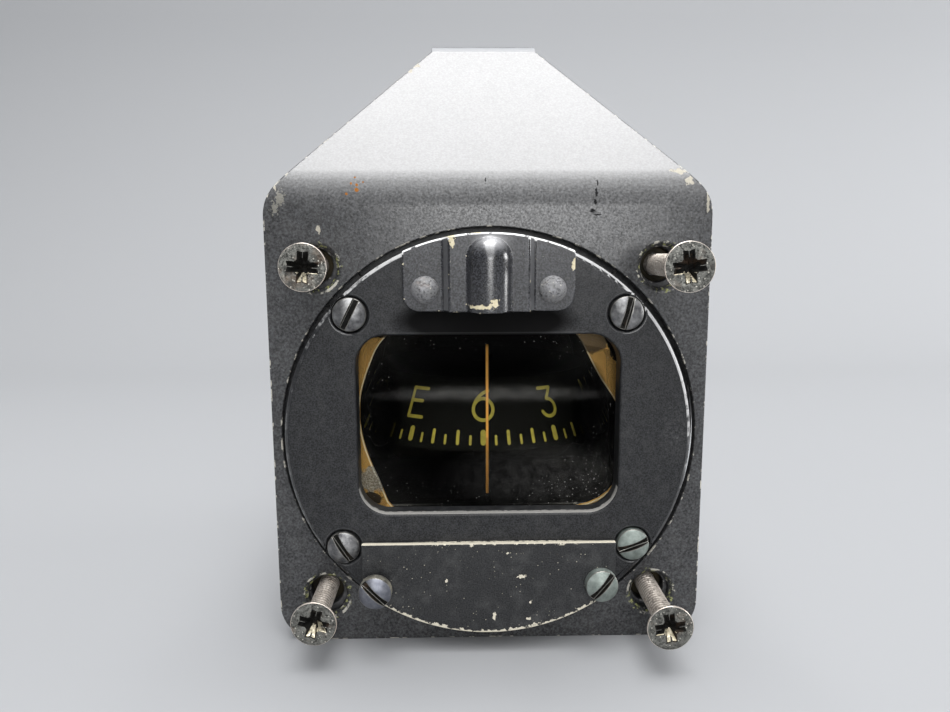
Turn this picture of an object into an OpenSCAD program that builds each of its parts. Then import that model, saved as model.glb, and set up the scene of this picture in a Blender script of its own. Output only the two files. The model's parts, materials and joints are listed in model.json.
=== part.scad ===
// Panel compass in a hanging sheet-metal bracket.
// Frame: +X to the viewer's right, +Y away from the viewer, +Z up.
// The origin is the middle of the bracket plate's bottom edge.

/* [Bracket] */
// Distance of the corner holes' centres from the plate's sides and bottom
plate_edge = 9.07; // [8.5:0.01:13]
// Thickness of the bracket's sheet
plate_t = 2; // [1.5:0.1:3]
// Radius of the plate's bottom corners
plate_corner_r = 7; // [3:0.5:10]
// Height of the flat plate above the dial's axis, up to the first bend
plate_top = 42; // [41:0.5:50]
// Outer radius of the bend between the plate and the tongue
bend_r = 10; // [6:0.5:14]
// Slope of the tongue above the horizontal
tongue_angle = 45; // [35:1:55]
// Length of the straight part of the tongue
tongue_len = 38.5; // [30:0.5:45]
// Outer radius of the bend between the tongue and the tab
tab_bend_r = 8; // [5:0.5:12]
// Width of the fixing tab
tab_w = 22.4; // [21:0.1:30]
// Length of the flat part of the fixing tab
tab_len = 16; // [12:0.5:24]
// Diameter of the two holes in the tab
tab_hole_d = 4.8; // [3.5:0.1:5.5]
// Distance between the two holes in the tab
tab_hole_spacing = 12; // [10:0.5:13]
// Radius of the plate's shoulders
shoulder_r = 9; // [5:0.5:12]

/* [Panel screws] */
// Diameter of the bolt circle of the four corner screws
bolt_circle_d = 88.9; // [87:0.1:92]
// Diameter of the clearance holes in the plate's corners
corner_hole_d = 7.4; // [6:0.1:8]
// Width of the chamfer round each corner hole
corner_chamfer = 0.8; // [0.4:0.1:1]
// Thread diameter of the panel screws
panel_thread_d = 4.17; // [3.5:0.01:4.8]
// Thread pitch of the panel screws
panel_pitch = 0.8; // [0.6:0.05:1]
// Head diameter of the panel screws
panel_head_d = 8.2; // [7.4:0.1:9]
// Length of the panel screws with their heads
panel_screw_len = 25.4; // [24:0.1:32]
// How far the upper left screw head stands in front of the plate
upper_left_out = 9.5; // [4:0.5:17.5]
// How far the upper right screw head stands in front of the plate
upper_right_out = 17.5; // [4:0.5:17.5]
// How far the lower left screw head stands in front of the plate
lower_left_out = 11.5; // [4:0.5:17.5]
// How far the lower right screw head stands in front of the plate
lower_right_out = 14.5; // [4:0.5:17.5]

/* [Face] */
// Diameter of the bezel
bezel_d = 74.4; // [73:0.2:76]
// How far the bezel stands in front of the plate
bezel_proud = 4; // [2:0.5:6]
// Radius of the bezel's front edge
bezel_edge_r = 1.2; // [0.5:0.1:2]
// Radial gap between the bezel and the plate's cut-out
cutout_gap = 1.5; // [1:0.1:1.8]
// How far the loosened compass has settled upward in the cut-out
compass_rise = 0.4; // [0:0.1:0.8]
// How far the loosened compass has settled to the left in the cut-out
compass_left = 0.3; // [0:0.1:0.6]
// Width of the window
window_w = 47.7; // [44:0.1:49]
// Height of the window
window_h = 33.3; // [31:0.1:34]
// Corner radius of the window
window_r = 5.5; // [3.5:0.1:7]
// Height of the window's centre above the dial's axis
window_rise = 2.6; // [1.6:0.1:3]
// Depth of the window from the bezel's face to the lens
window_depth = 4.5; // [3:0.1:6]
// Radial distance from the bezel's edge to the lens's edge
lens_inset = 6.2; // [6:0.1:6.8]
// Distance of the lens's flat lower edge below the dial's axis
lens_chord = 18.5; // [17.8:0.1:18.9]
// Thickness of the lens
lens_t = 3; // [2:0.1:4]
// Thickness of the cork gasket behind the lens
gasket_t = 1; // [0.6:0.1:1.5]
// Width of the gasket's band
gasket_w = 4.2; // [3:0.1:5]
// Width of the lubber line
lubber_w = 0.5; // [0.4:0.1:1.2]
// How far the lubber line's middle lies below the window's
lubber_drop = 0.7; // [0:0.1:1.5]
// Thickness of the lubber line
lubber_t = 0.25; // [0.15:0.05:0.4]

/* [Face screws] */
// Distance of the bezel screws' centres from the bezel's edge
bezel_screw_inset = 3.5; // [3.4:0.1:3.6]
// Angle of the upper bezel screws above the horizontal
bezel_screw_up = 43; // [38:1:47]
// Angle of the lower bezel screws below the horizontal
bezel_screw_down = 37; // [32:1:37]
// Thread diameter of the bezel and cover screws
face_thread_d = 3.5; // [2.8:0.1:3.6]
// Head diameter of the slotted screws on the face
slot_head_d = 6; // [5:0.1:6.1]
// Height of the straight side of a slotted head
slot_head_h = 1.6; // [1.2:0.1:2.2]
// Height of the dome on a slotted head
slot_dome_h = 1; // [0.6:0.1:1.4]
// Width of the screwdriver slot
slot_w = 1.1; // [0.8:0.1:1.4]

/* [Lamp] */
// Width of the lamp cover
lamp_w = 30; // [28:0.5:33]
// Height of the lamp cover's lower edge above the dial's axis
lamp_bottom = 23.6; // [23:0.1:24.4]
// Thickness of the lamp cover's side flanges
lamp_flange_t = 2.4; // [2:0.1:3]
// Outer diameter of the lamp tube
lamp_tube_d = 7.6; // [7.2:0.1:8.4]
// Distance of the lamp tube's axis in front of the bezel
lamp_axis_out = 3.6; // [3.4:0.1:4.5]
// Diameter of the lamp's bulb
bulb_d = 4; // [3:0.1:4.2]
// Diameter of the rivet heads on the lamp cover
rivet_d = 4.9; // [4:0.1:5.6]

/* [Compensator] */
// Width of the compensator's cover
cover_w = 47; // [44:0.5:47]
// Distance of the cover's straight edge below the dial's axis
cover_top = 19.3; // [19:0.1:20]
// Thickness of the compensator's cover
cover_t = 1.5; // [1:0.1:2]
// How far the cover's left screw is backed out
cover_screw_out = 1.7; // [0:0.1:3]
// Distance of each adjuster from the middle
adjuster_x = 9; // [8.7:0.1:9.2]
// Distance of the adjusters above the bezel's lowest point
adjuster_up = 10.7; // [10.4:0.1:11]
// Diameter of the adjusters' slotted heads
adjuster_head_d = 4.8; // [4.2:0.1:5.4]
// Diameter of the adjusters' spindles
spindle_d = 3; // [2.4:0.1:3.2]
// Pitch radius of the bevel gears
gear_r = 3.5; // [3.3:0.1:3.6]
// Length of the compensating magnets
comp_magnet_len = 10; // [8:0.2:10.4]

/* [Bowl] */
// Wall of the bowl
wall = 2.4; // [2:0.1:2.8]
// Free space between the lens and the card's rim
card_gap = 3.5; // [3:0.1:6]
// Thickness of the webs that carry the ears
ear_web_t = 3; // [2.5:0.1:5]
// How far the bowl's front flange reaches past the plate's cut-out
flange_lap = 1.3; // [0.8:0.1:1.6]
// Diameter of the ears' bosses
ear_d = 10; // [9:0.1:11]
// Height of the domed rear cover above its flange
rear_dome_h = 4.5; // [3:0.5:7]

/* [Card] */
// Radius of the card at its lower rim
card_r = 30.5; // [28:0.1:31]
// Distance of the card's rim below the dial's axis
card_rim_down = 5.4; // [4.8:0.1:6]
// Height of the card's sloping face
card_h = 13.8; // [13:0.1:15]
// Slope of the card's face from the vertical
card_slope = 25; // [22:1:32]
// Thickness of the card and of its float's walls
card_t = 0.8; // [0.6:0.1:1]
// Radius of the float
float_r = 17; // [15.5:0.5:18]
// Radius of the well in the float that the post reaches into
well_r = 5.5; // [5:0.1:6]
// Length of the card's magnets
card_magnet_len = 28; // [20:0.5:30]

/* [Hidden] */
$fn = 64;
// Radial gap of a seated piece, of a turning shaft, and round a piece in a recess
fit = 0.02;
run = 0.03;
trim = 0.2;
// Overshoot of a cutting shape past the face that it opens
over = 1;

// Depths along Y, from the plate's front face
face_y = -bezel_proud;
lens_y = face_y + window_depth;
gasket_y = lens_y + lens_t;
bowl_y = gasket_y + gasket_t;
axis_y = gasket_y + card_gap + card_r;
rear_gap = 3;
bowl_back = axis_y + card_r + rear_gap;
front_wall = 3;
bezel_t = bowl_y - face_y;

// Radii about the dial's axis
bezel_r = bezel_d / 2;
cutout_r = bezel_r + cutout_gap;
lens_r = bezel_r - lens_inset;
bowl_r = bezel_r - 0.4;
cavity_r = bowl_r - wall;
flange_r = cutout_r + flange_lap;
mid_wall_r = bowl_r - wall / 2;
mouth_r = lens_r - 4.5;
mouth_chord = lens_chord - 3.3;
lubber_margin = 2;

// The sheet's side profile, with Y to the right and Z up
bend_angle = 90 - tongue_angle;
bend_centre = [bend_r, plate_top];
tongue_low = bend_centre + bend_r * [-cos(bend_angle), sin(bend_angle)];
tongue_high = tongue_low + tongue_len * [cos(tongue_angle), sin(tongue_angle)];
tab_centre = tongue_high + tab_bend_r * [sin(tongue_angle), -cos(tongue_angle)];
tab_back_y = tab_centre[0] + tab_len;
tab_top_z = tab_centre[1] + tab_bend_r;
tab_hole_y = tab_centre[0] + tab_len / 2;

// The plate's front outline: square round the corner holes, with shoulders that taper to the tab
corner = bolt_circle_d / 2 * cos(45);
plate_w = 2 * (corner + plate_edge);
shoulder_z = plate_top + 2;
taper_top = tongue_high[1] + trim;
taper = atan2((plate_w - tab_w) / 2, taper_top - shoulder_z);
shoulder_centre = [plate_w / 2 - shoulder_r, shoulder_z - shoulder_r * tan(taper / 2)];

// Panel screws, at the corners of a square, each with its side, height, reach and turn
panel_screw_places = [[-1, 1, upper_left_out, -4], [1, 1, upper_right_out, 7],
                      [-1, -1, lower_left_out, -16], [1, -1, lower_right_out, 8]];
panel_rim = 0.4;
thread_depth = 0.6;
recess_reach = 2.5;
recess_foot = 1;
recess_w = 0.7;
recess_depth = 1.9;
recess_draft = 15;
recess_core_r = 1.5;
recess_core_depth = 2.3;
insert_r = panel_thread_d / 2 + 1.1;
insert_set = 2;
ear_back = bowl_y + ear_web_t + 0.5;
ear_web_half = ear_d / 2 - 0.8;
flange_y = bowl_y + 0.3;
flange_t = ear_web_t - 0.7;
ear_web_r = bolt_circle_d / 2 - insert_r - 0.5;

// Bezel and cover screws
bezel_screw_circle = bezel_r - bezel_screw_inset;
bezel_screw_angles = [bezel_screw_up, 180 - bezel_screw_up,
                      180 + bezel_screw_down, -bezel_screw_down];
bezel_slot_turns = [75, 63, -58, 20];
bezel_screw_hole_gap = 0.2;
counterbore_gap = 0.3;
counterbore_depth = 1.2;
bezel_screw_len = 15;
bezel_boss_len = bezel_screw_len + counterbore_depth;
bezel_boss_r = face_thread_d / 2 + 1.8;
cover_screw_circle = bezel_r - 3;
cover_screw_inset = 2.73;
cover_screw_x = cover_w / 2 - cover_screw_inset;
cover_screw_z = -sqrt(pow(cover_screw_circle, 2) - pow(cover_screw_x, 2));
cover_screw_len = 7;
cover_hole_gap = 0.2;
cover_edge = 0.4;
slot_depth = 1.3;

// Lamp under its cover, and the way for its lead
lamp_y = face_y - lamp_axis_out;
lamp_tube_r = lamp_tube_d / 2;
lamp_bore_r = lamp_tube_r - 0.9;
lamp_dome_set = 0.8;
lamp_dome_z = bezel_r - lamp_dome_set - lamp_tube_r;
lamp_bore_top = lamp_dome_z;
lamp_step_out = 1.8;
lamp_step_x = 8;
lamp_step_run = 1.1;
lamp_corner_r = 3;
socket_h = 4.6;
socket_wall = 0.5;
socket_top = lamp_bore_top - 1;
lamp_base_h = 3.6;
lamp_base_r = lamp_bore_r - fit - socket_wall - fit;
lamp_base_z = socket_top - lamp_base_h - 0.4;
bulb_bottom = lamp_bottom + 0.4;
rivet_x = 11.1;
rivet_z = 27.4;
rivet_shank_r = 1.2;
rivet_grip = 3.4;
rivet_h = 1.8;
lead_r = 1;
lead_wall = 1.8;
lead_z = lens_r + trim + 0.5 + lead_r;
lead_turn_y = bowl_y + 7;
grommet_boss_r = 4;
grommet_boss_z = bowl_r + 0.8;
grommet_neck_r = 1.9;
grommet_flange_r = 3.2;
grommet_flange_h = 1.6;

// Compensator chamber, with its frame, spindles and gears
web = 2.6;
post_flange_r = 6;
chamber_top = -cover_top - 0.5;
chamber_back = axis_y + post_flange_r + 0.6 - web;
floor_z = chamber_top + web;
adjuster_z = adjuster_up - bezel_r;
slot_half_w = adjuster_x + adjuster_head_d / 2 + 2;
slot_half_h = adjuster_head_d / 2 + 1.4;
frame_plate_t = 3;
frame_half_w = 18;
frame_gap = 0.3;
frame_r = cavity_r - frame_gap;
spine_half_w = 5;
spine_h = 1.6;
spine_z = 0.5 - frame_r;
spindle_r = spindle_d / 2;
washer_t = 0.4;
washer_r = spindle_r + 0.9;
head_gap = 0.05;
head_len = 3.6;
head_back = bowl_y - washer_t - head_gap;
magnet_r = 1;
carrier_len = 6;
carrier_r = spindle_r + 0.9;
carrier_y = bowl_y + 17.5;
gear_teeth = 12;
gear_y = bowl_y + 17.5;
gear_addendum = 0.3;
gear_dedendum = 0.45;
gear_face = 1.6;
gear_hub_r = 2.2;
gear_hub_len = 2;
tooth_share = 0.28;
cross_r = 1.2;
collar_len = 1;
collar_r = 2;
arm_t = 2;
arm_gap = 0.1;
arm_half_h = 2.6;
arm_past = 2.6;
inner_arm_x = 0;
outer_arm_x = adjuster_x + gear_r + gear_hub_len + arm_gap;
cross_magnet_x = adjuster_x - gear_r - gear_addendum - magnet_r - 0.8;
cross_carrier_len = 3;
cross_carrier_r = 2.2;

// Card, float and pivot, on the vertical axis behind the lens
card_rim_z = -card_rim_down;
card_top_z = card_rim_z + card_h;
card_top_r = card_r - card_h * tan(card_slope);
card_skin = card_t / cos(card_slope);
float_top_z = card_top_z - card_t;
float_h = 12;
float_base_z = float_top_z - float_h;
hub_r = 11.5;
hub_stem_r = 2.5;
hub_stem_down = 3;
hub_cap_h = 1.6;
pivot_r = 0.6;
pivot_tip_r = 0.05;
pivot_tip_z = 2;
pivot_cone_h = 1;
pivot_gap = 0.05;
jewel_r = 1.5;
jewel_h = 2.4;
cup_h = 1.2;
cup_r = 1.2;
cup_floor_r = 0.1;
jewel_z = pivot_tip_z - pivot_gap - (jewel_h - cup_h);
carrier_collar_h = 2.4;
stem_r = 1;
stem_len = 6;
post_r = 2.2;
post_flange_h = 1.5;
post_top_z = jewel_z - carrier_collar_h;
card_magnet_w = 4;
card_magnet_x = 8;

// Rear of the bowl
rear_gasket_t = 0.8;
diaphragm_t = 0.4;
rear_flange_t = 2.5;
rear_shell = 1.6;
rear_edge_r = 1.5;
rear_screw_count = 6;
rear_screw_r = 1.2;
rear_screw_circle = cavity_r - 2.6;
rear_screw_len = 10;
rear_hole_gap = 0.2;
rear_boss_r = 3.2;
rear_boss_len = 10;
rear_head_r = 2.3;
rear_head_h = 1;
rear_dome_screw_h = 0.6;
rear_chamber_r = rear_screw_circle - rear_head_r - rear_shell - 0.4;
diaphragm_y = bowl_back + rear_gasket_t;
rear_cover_y = diaphragm_y + diaphragm_t;
rear_face_y = rear_cover_y + rear_flange_t;
vent_r = 1;
ripple_h = 1.2;
ripple_count = 4;
ripple_steps = 8;

// Filler plug on top of the bowl
filler_y = axis_y + 18;
filler_boss_r = 6;
filler_boss_z = bowl_r + 1.2;
filler_thread_r = 3;
filler_washer_t = 0.8;
filler_washer_r = 5.2;
filler_head_r = 4.8;
filler_head_h = 3.4;
filler_len = 3.6;

// Inner edge of the cork gasket, crept unevenly into the window,
// in half widths and half heights of the window from its centre
gasket_edge = [[-0.75, -1.12], [-0.88, -0.75], [-0.965, -0.45], [-1.015, -0.15], [-1.02, 0.15],
               [-0.99, 0.38], [-0.93, 0.62], [-0.855, 0.84], [-0.71, 1.01], [-0.33, 1.14],
               [0.17, 1.17], [0.57, 1.1], [0.725, 0.92], [0.815, 0.69], [0.905, 0.45],
               [1.055, 0.11], [1.13, -0.28], [1.09, -0.7], [0.92, -1], [0.59, -1.12],
               [0, -1.13], [-0.42, -1.13]];
gasket_steps = 3;

// Places of the plate, of the compass in it, and of the card's axis
module in_plate() { translate([0, -plate_t / 2, plate_w / 2]) children(); }
module in_compass() { in_plate() translate([-compass_left, 0, compass_rise]) children(); }
module on_axis() { in_compass() translate([0, axis_y, 0]) children(); }

// A cylinder along Y from y0 to y1
module bar_y(r, y0, y1, x = 0, z = 0) {
    translate([x, y0, z]) rotate([-90, 0, 0]) cylinder(h = y1 - y0, r = r);
}

// A cylinder along Z from z0 to z1
module bar_z(r, z0, z1, y = 0) { translate([0, y, z0]) cylinder(h = z1 - z0, r = r); }

// A cylinder along X from x0 to x1
module bar_x(r, x0, x1, y, z) {
    translate([x0, y, z]) rotate([0, 90, 0]) cylinder(h = x1 - x0, r = r);
}

// A block between two corners
module block(low, high) { translate(low) cube(high - low); }

// An X-Z outline given thickness from y0 to y1
module slab(y0, y1) {
    translate([0, y1, 0]) rotate([90, 0, 0]) linear_extrude(y1 - y0) children();
}

// A rectangle with round corners, centred
module round_rect(w, h, r) {
    square([w - 2 * r, h], center = true);
    square([w, h - 2 * r], center = true);
    for (sx = [-1, 1], sz = [-1, 1]) translate([sx * (w / 2 - r), sz * (h / 2 - r)]) circle(r);
}

// A disc with a flat lower edge, as an outline
module cut_disc(r, chord) {
    intersection() {
        circle(r);
        translate([-r - over, -chord]) square([2 * (r + over), r + chord + over]);
    }
}

// A disc along Z with a rounded upper edge
module rounded_disc(r, h, edge) {
    rotate_extrude() {
        square([r - edge, h]);
        square([r, h - edge]);
        translate([r - edge, h - edge]) intersection() { circle(edge); square(edge); }
    }
}

// A domed cap along Z on the plane z = 0
module dome(r, h) {
    ball = (r * r + h * h) / (2 * h);
    intersection() {
        translate([0, 0, h - ball]) sphere(ball);
        cylinder(h = h, r = r);
    }
}

// Points along an arc
function arc(centre, r, a0, a1, n = 12) =
    [for (i = [0:n]) let (a = a0 + (a1 - a0) * i / n) centre + r * [cos(a), sin(a)]];

// The same points on the other side of the middle, in turned order
function mirrored(p) = [for (i = [len(p) - 1:-1:0]) [-p[i][0], p[i][1]]];

// Points of a smooth closed curve through the given ones
function on_curve(p, i, t) =
    let (n = len(p), a = p[(i + n - 1) % n], b = p[i], c = p[(i + 1) % n], d = p[(i + 2) % n])
    0.5 * (2 * b + (c - a) * t + (2 * a - 5 * b + 4 * c - d) * t * t
           + (3 * b - 3 * c + d - a) * t * t * t);
function smooth(p, steps) =
    [for (i = [0:len(p) - 1], s = [0:steps - 1]) on_curve(p, i, s / steps)];

// Ridges of a thread, from z0 downwards, as a list of radius and height
function thread(r, pitch, z0, length) =
    [for (i = [0:floor(length / pitch) - 1])
        each [[r - thread_depth, z0 - i * pitch], [r, z0 - (i + 0.5) * pitch]]];

// A cross recess with sloping flanks and a conical middle, its mouth at z = 0
module cross_recess() {
    spread = (recess_reach - recess_foot) / recess_depth;
    mouth = recess_reach + spread * over;
    for (side = [0, 90], lean = [-1, 1]) rotate([0, 0, side]) translate([0, 0, -recess_depth])
        rotate([90 + lean * recess_draft, 0, 0]) linear_extrude(recess_w, center = true)
            polygon([[-recess_foot, 0], [recess_foot, 0], [mouth, recess_depth + over],
                     [-mouth, recess_depth + over]]);
    translate([0, 0, -recess_core_depth])
        cylinder(h = recess_core_depth, r1 = recess_w / 2, r2 = recess_core_r);
    cylinder(h = over, r = recess_core_r);
}

// A countersunk screw with a cross recess, its head's face at z = 0
module countersunk_screw() {
    head_r = panel_head_d / 2;
    shank_r = panel_thread_d / 2;
    cone = (head_r - shank_r + thread_depth) / tan(41);
    thread_len = panel_screw_len - panel_rim - cone;
    difference() {
        rotate_extrude() polygon(concat(
            [[0, 0], [head_r, 0], [head_r, -panel_rim]],
            thread(shank_r, panel_pitch, -panel_rim - cone, thread_len),
            [[shank_r - thread_depth, -panel_screw_len], [0, -panel_screw_len]]));
        cross_recess();
    }
}

// A slotted screw with a domed head that seats at z = 0
module slotted_screw(head_r, head_h, dome_h, shank_r, length, pitch, turn) {
    difference() {
        union() {
            cylinder(h = head_h, r = head_r);
            translate([0, 0, head_h]) dome(head_r, dome_h);
            rotate_extrude() polygon(concat(
                [[0, 0]], thread(shank_r, pitch, 0, length),
                [[shank_r - thread_depth, -length], [0, -length]]));
        }
        rotate([0, 0, turn])
            block([-head_r - over, -slot_w / 2, head_h + dome_h - slot_depth],
                  [head_r + over, slot_w / 2, head_h + dome_h + over]);
    }
}

// Places of the four bezel screws, of the cover's two and of the rear cover's six
module at_bezel_screws() {
    for (i = [0:3]) rotate([0, -bezel_screw_angles[i], 0])
        translate([bezel_screw_circle, 0, 0]) rotate([0, bezel_screw_angles[i], 0]) {
            $turn = bezel_slot_turns[i];
            children();
        }
}
module at_corners() {
    for (p = panel_screw_places) translate([p[0] * corner, 0, p[1] * corner]) {
        $out = p[2];
        $turn = p[3];
        children();
    }
}
module at_rear_screws() {
    for (i = [0:rear_screw_count - 1]) rotate([0, 30 + i * 360 / rear_screw_count, 0])
        translate([rear_screw_circle, 0, 0]) children();
}

// A miter bevel gear about Z, with its pitch cone's tip at the origin and its teeth facing up
module bevel_gear(phase) {
    slant = gear_r * sqrt(2);
    inner = 1 - gear_face / slant;
    tip = [gear_r + gear_addendum / sqrt(2), -gear_r + gear_addendum / sqrt(2)];
    root = [gear_r - gear_dedendum / sqrt(2), -gear_r - gear_dedendum / sqrt(2)];
    back_z = -gear_r - gear_hub_len;
    reach = 2 * gear_r;
    half_gap = (1 - tooth_share) * PI * gear_r / gear_teeth * reach / slant;
    difference() {
        rotate_extrude() polygon([[0, inner * root[1]], inner * root, inner * tip, tip, root,
                                  [gear_hub_r, root[1]], [gear_hub_r, back_z], [0, back_z]]);
        for (i = [0:gear_teeth - 1]) rotate([0, 0, phase + i * 360 / gear_teeth])
            rotate([0, atan2(-root[1], root[0]), 0]) linear_extrude(2 * gear_dedendum + gear_addendum)
                polygon([[0, 0], [reach, -half_gap], [reach, half_gap]]);
    }
}

// A compensating spindle along Y with a slotted head, from its head back to y_end
module adjuster_spindle(x, y_end) {
    difference() {
        union() {
            bar_y(adjuster_head_d / 2, head_back - head_len, head_back, x, adjuster_z);
            bar_y(spindle_r, head_back - over, y_end, x, adjuster_z);
        }
        block([x - adjuster_head_d, head_back - head_len - over, adjuster_z - slot_w / 2],
              [x + adjuster_head_d, head_back - head_len + slot_depth, adjuster_z + slot_w / 2]);
    }
}

// Sheet-metal bracket: a plate with a round cut-out, bent back to a sloping tongue and a tab
module mounting_bracket() {
    bottom = -plate_w / 2;
    right_side = concat(
        arc([plate_w / 2 - plate_corner_r, bottom + plate_corner_r], plate_corner_r, -90, 0),
        arc(shoulder_centre, shoulder_r, 0, taper),
        [[tab_w / 2, taper_top], [tab_w / 2, tab_top_z + over]]);
    color("#2b2d31") in_plate() difference() {
        intersection() {
            rotate([90, 0, 90]) translate([0, 0, -plate_w]) linear_extrude(2 * plate_w)
                polygon(concat(
                    [[0, bottom]],
                    arc(bend_centre, bend_r, 180, 180 - bend_angle),
                    arc(tab_centre, tab_bend_r, 180 - bend_angle, 90),
                    [[tab_back_y, tab_top_z], [tab_back_y, tab_top_z - plate_t]],
                    arc(tab_centre, tab_bend_r - plate_t, 90, 180 - bend_angle),
                    arc(bend_centre, bend_r - plate_t, 180 - bend_angle, 180),
                    [[plate_t, bottom]]));
            slab(-over, tab_back_y + over) polygon(concat(right_side, mirrored(right_side)));
        }
        bar_y(cutout_r, -over, plate_t + over);
        at_corners() {
            bar_y(corner_hole_d / 2, -over, plate_t + over);
            rotate([-90, 0, 0])
                cylinder(h = corner_chamfer, r1 = corner_hole_d / 2 + corner_chamfer, r2 = corner_hole_d / 2);
        }
        for (side = [-1, 1]) translate([side * tab_hole_spacing / 2, 0, 0])
            bar_z(tab_hole_d / 2, tab_top_z - plate_t - over, tab_top_z + over, tab_hole_y);
    }
}

// Four countersunk screws, all partly backed out
module panel_screws() {
    color("#6f6a66") in_compass() at_corners()
        translate([0, -$out, 0]) rotate([90, 0, 0]) rotate([0, 0, $turn]) countersunk_screw();
}

// Cast bowl for the liquid and the card, with a front flange, four ears and the compensator's chamber
module bowl() {
    color("#1d1e21") in_compass() difference() {
        union() {
            bar_y(bowl_r, bowl_y, bowl_back);
            bar_y(flange_r, flange_y, flange_y + flange_t);
            at_corners() bar_y(ear_d / 2, plate_t, ear_back);
            for (turn = [45:90:315]) rotate([0, turn, 0])
                block([mid_wall_r, bowl_y, -ear_web_half], [ear_web_r, bowl_y + ear_web_t, ear_web_half]);
            bar_z(grommet_boss_r, mid_wall_r, grommet_boss_z, lead_turn_y);
            bar_z(filler_boss_r, mid_wall_r, filler_boss_z, filler_y);
        }
        // The liquid's space, less the chamber's walls and the bosses
        difference() {
            bar_y(cavity_r, bowl_y + front_wall, bowl_back + over);
            block([-bezel_r, 0, -bezel_r], [bezel_r, chamber_back + web, floor_z]);
            at_bezel_screws() bar_y(bezel_boss_r, bowl_y, bezel_boss_len);
            at_rear_screws() bar_y(rear_boss_r, bowl_back - rear_boss_len, bowl_back + 2 * over);
            bar_y(lead_r + lead_wall, bowl_y, lead_turn_y + grommet_neck_r + lead_wall, 0, lead_z);
        }
        slab(bowl_y - over, bowl_y + front_wall + over) cut_disc(mouth_r, mouth_chord);
        difference() {
            bar_y(cavity_r, bowl_y - over, chamber_back);
            block([-bezel_r, 0, chamber_top], [bezel_r, bowl_back, bezel_r]);
            at_bezel_screws() bar_y(bezel_boss_r, bowl_y - 2 * over, bezel_boss_len);
        }
        at_bezel_screws() bar_y(face_thread_d / 2 + fit, bowl_y - over, bezel_boss_len - over);
        at_corners() bar_y(insert_r + fit, plate_t - over, ear_back + over);
        at_rear_screws() bar_y(rear_screw_r + fit, bowl_back - rear_boss_len + over, bowl_back + over);
        bar_y(lead_r, bowl_y - over, lead_turn_y, 0, lead_z);
        bar_z(grommet_neck_r + fit, lead_z - lead_r - trim, grommet_boss_z + over, lead_turn_y);
        bar_z(filler_thread_r + fit, cavity_r - 2 * over, filler_boss_z + over, filler_y);
    }
}

// Threaded inserts, sunk in the bowl's ears
module ear_inserts() {
    color("#a98b4a") in_compass() at_corners() difference() {
        bar_y(insert_r, plate_t + insert_set, ear_back);
        bar_y(panel_thread_d / 2 + fit, plate_t, ear_back + over);
    }
}

// Bezel: the round front ring with the window, the lens's recess and the adjusters' slot
module bezel() {
    color("#25272b") in_compass() difference() {
        translate([0, bowl_y, 0]) rotate([90, 0, 0]) rounded_disc(bezel_r, bezel_t, bezel_edge_r);
        slab(face_y - over, bowl_y) translate([0, window_rise]) round_rect(window_w, window_h, window_r);
        slab(lens_y, bowl_y + over) cut_disc(lens_r + trim, lens_chord + trim);
        at_bezel_screws() {
            bar_y(face_thread_d / 2 + bezel_screw_hole_gap, face_y, bowl_y + over);
            bar_y(slot_head_d / 2 + counterbore_gap, face_y - over, face_y + counterbore_depth);
        }
        for (side = [-1, 1]) {
            bar_y(face_thread_d / 2 + fit, face_y - over, bowl_y + over, side * cover_screw_x, cover_screw_z);
            bar_y(rivet_shank_r + fit, face_y - over, face_y + rivet_grip, side * rivet_x, rivet_z);
        }
        slab(face_y - over, bowl_y + over) translate([0, adjuster_z])
            round_rect(2 * slot_half_w, 2 * slot_half_h, slot_half_h - over);
        bar_y(lead_r, face_y - over, bowl_y + over, 0, lead_z);
    }
}

// Four slotted screws that hold the bezel on the bowl
module bezel_screws() {
    color("#4c4d4c") in_compass() at_bezel_screws()
        translate([0, face_y + counterbore_depth, 0]) rotate([90, 0, 0])
            slotted_screw(slot_head_d / 2, slot_head_h, slot_dome_h, face_thread_d / 2,
                          bezel_screw_len, panel_pitch, $turn);
}

// Clear lens with a flat lower edge
module lens() {
    color("#c9d3d6", 0.35) in_compass() slab(lens_y, gasket_y) cut_disc(lens_r, lens_chord);
}

// Cork gasket between the lens and the bowl, uneven along its inner edge
module lens_gasket() {
    edge = [for (p = smooth(gasket_edge, gasket_steps))
        [p[0] * window_w / 2, p[1] * window_h / 2 + window_rise]];
    color("#b08d57") in_compass() slab(gasket_y, bowl_y) intersection() {
        cut_disc(lens_r, lens_chord);
        difference() {
            offset(r = gasket_w) polygon(edge);
            polygon(edge);
        }
    }
}

// Lubber line: a thin strip on the back of the lens
module lubber_line() {
    reach = window_h / 2 - lubber_margin;
    middle = window_rise - lubber_drop;
    color("#b8692d") in_compass() slab(gasket_y, gasket_y + lubber_t)
        translate([-lubber_w / 2, middle - reach]) square([lubber_w, 2 * reach]);
}

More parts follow.
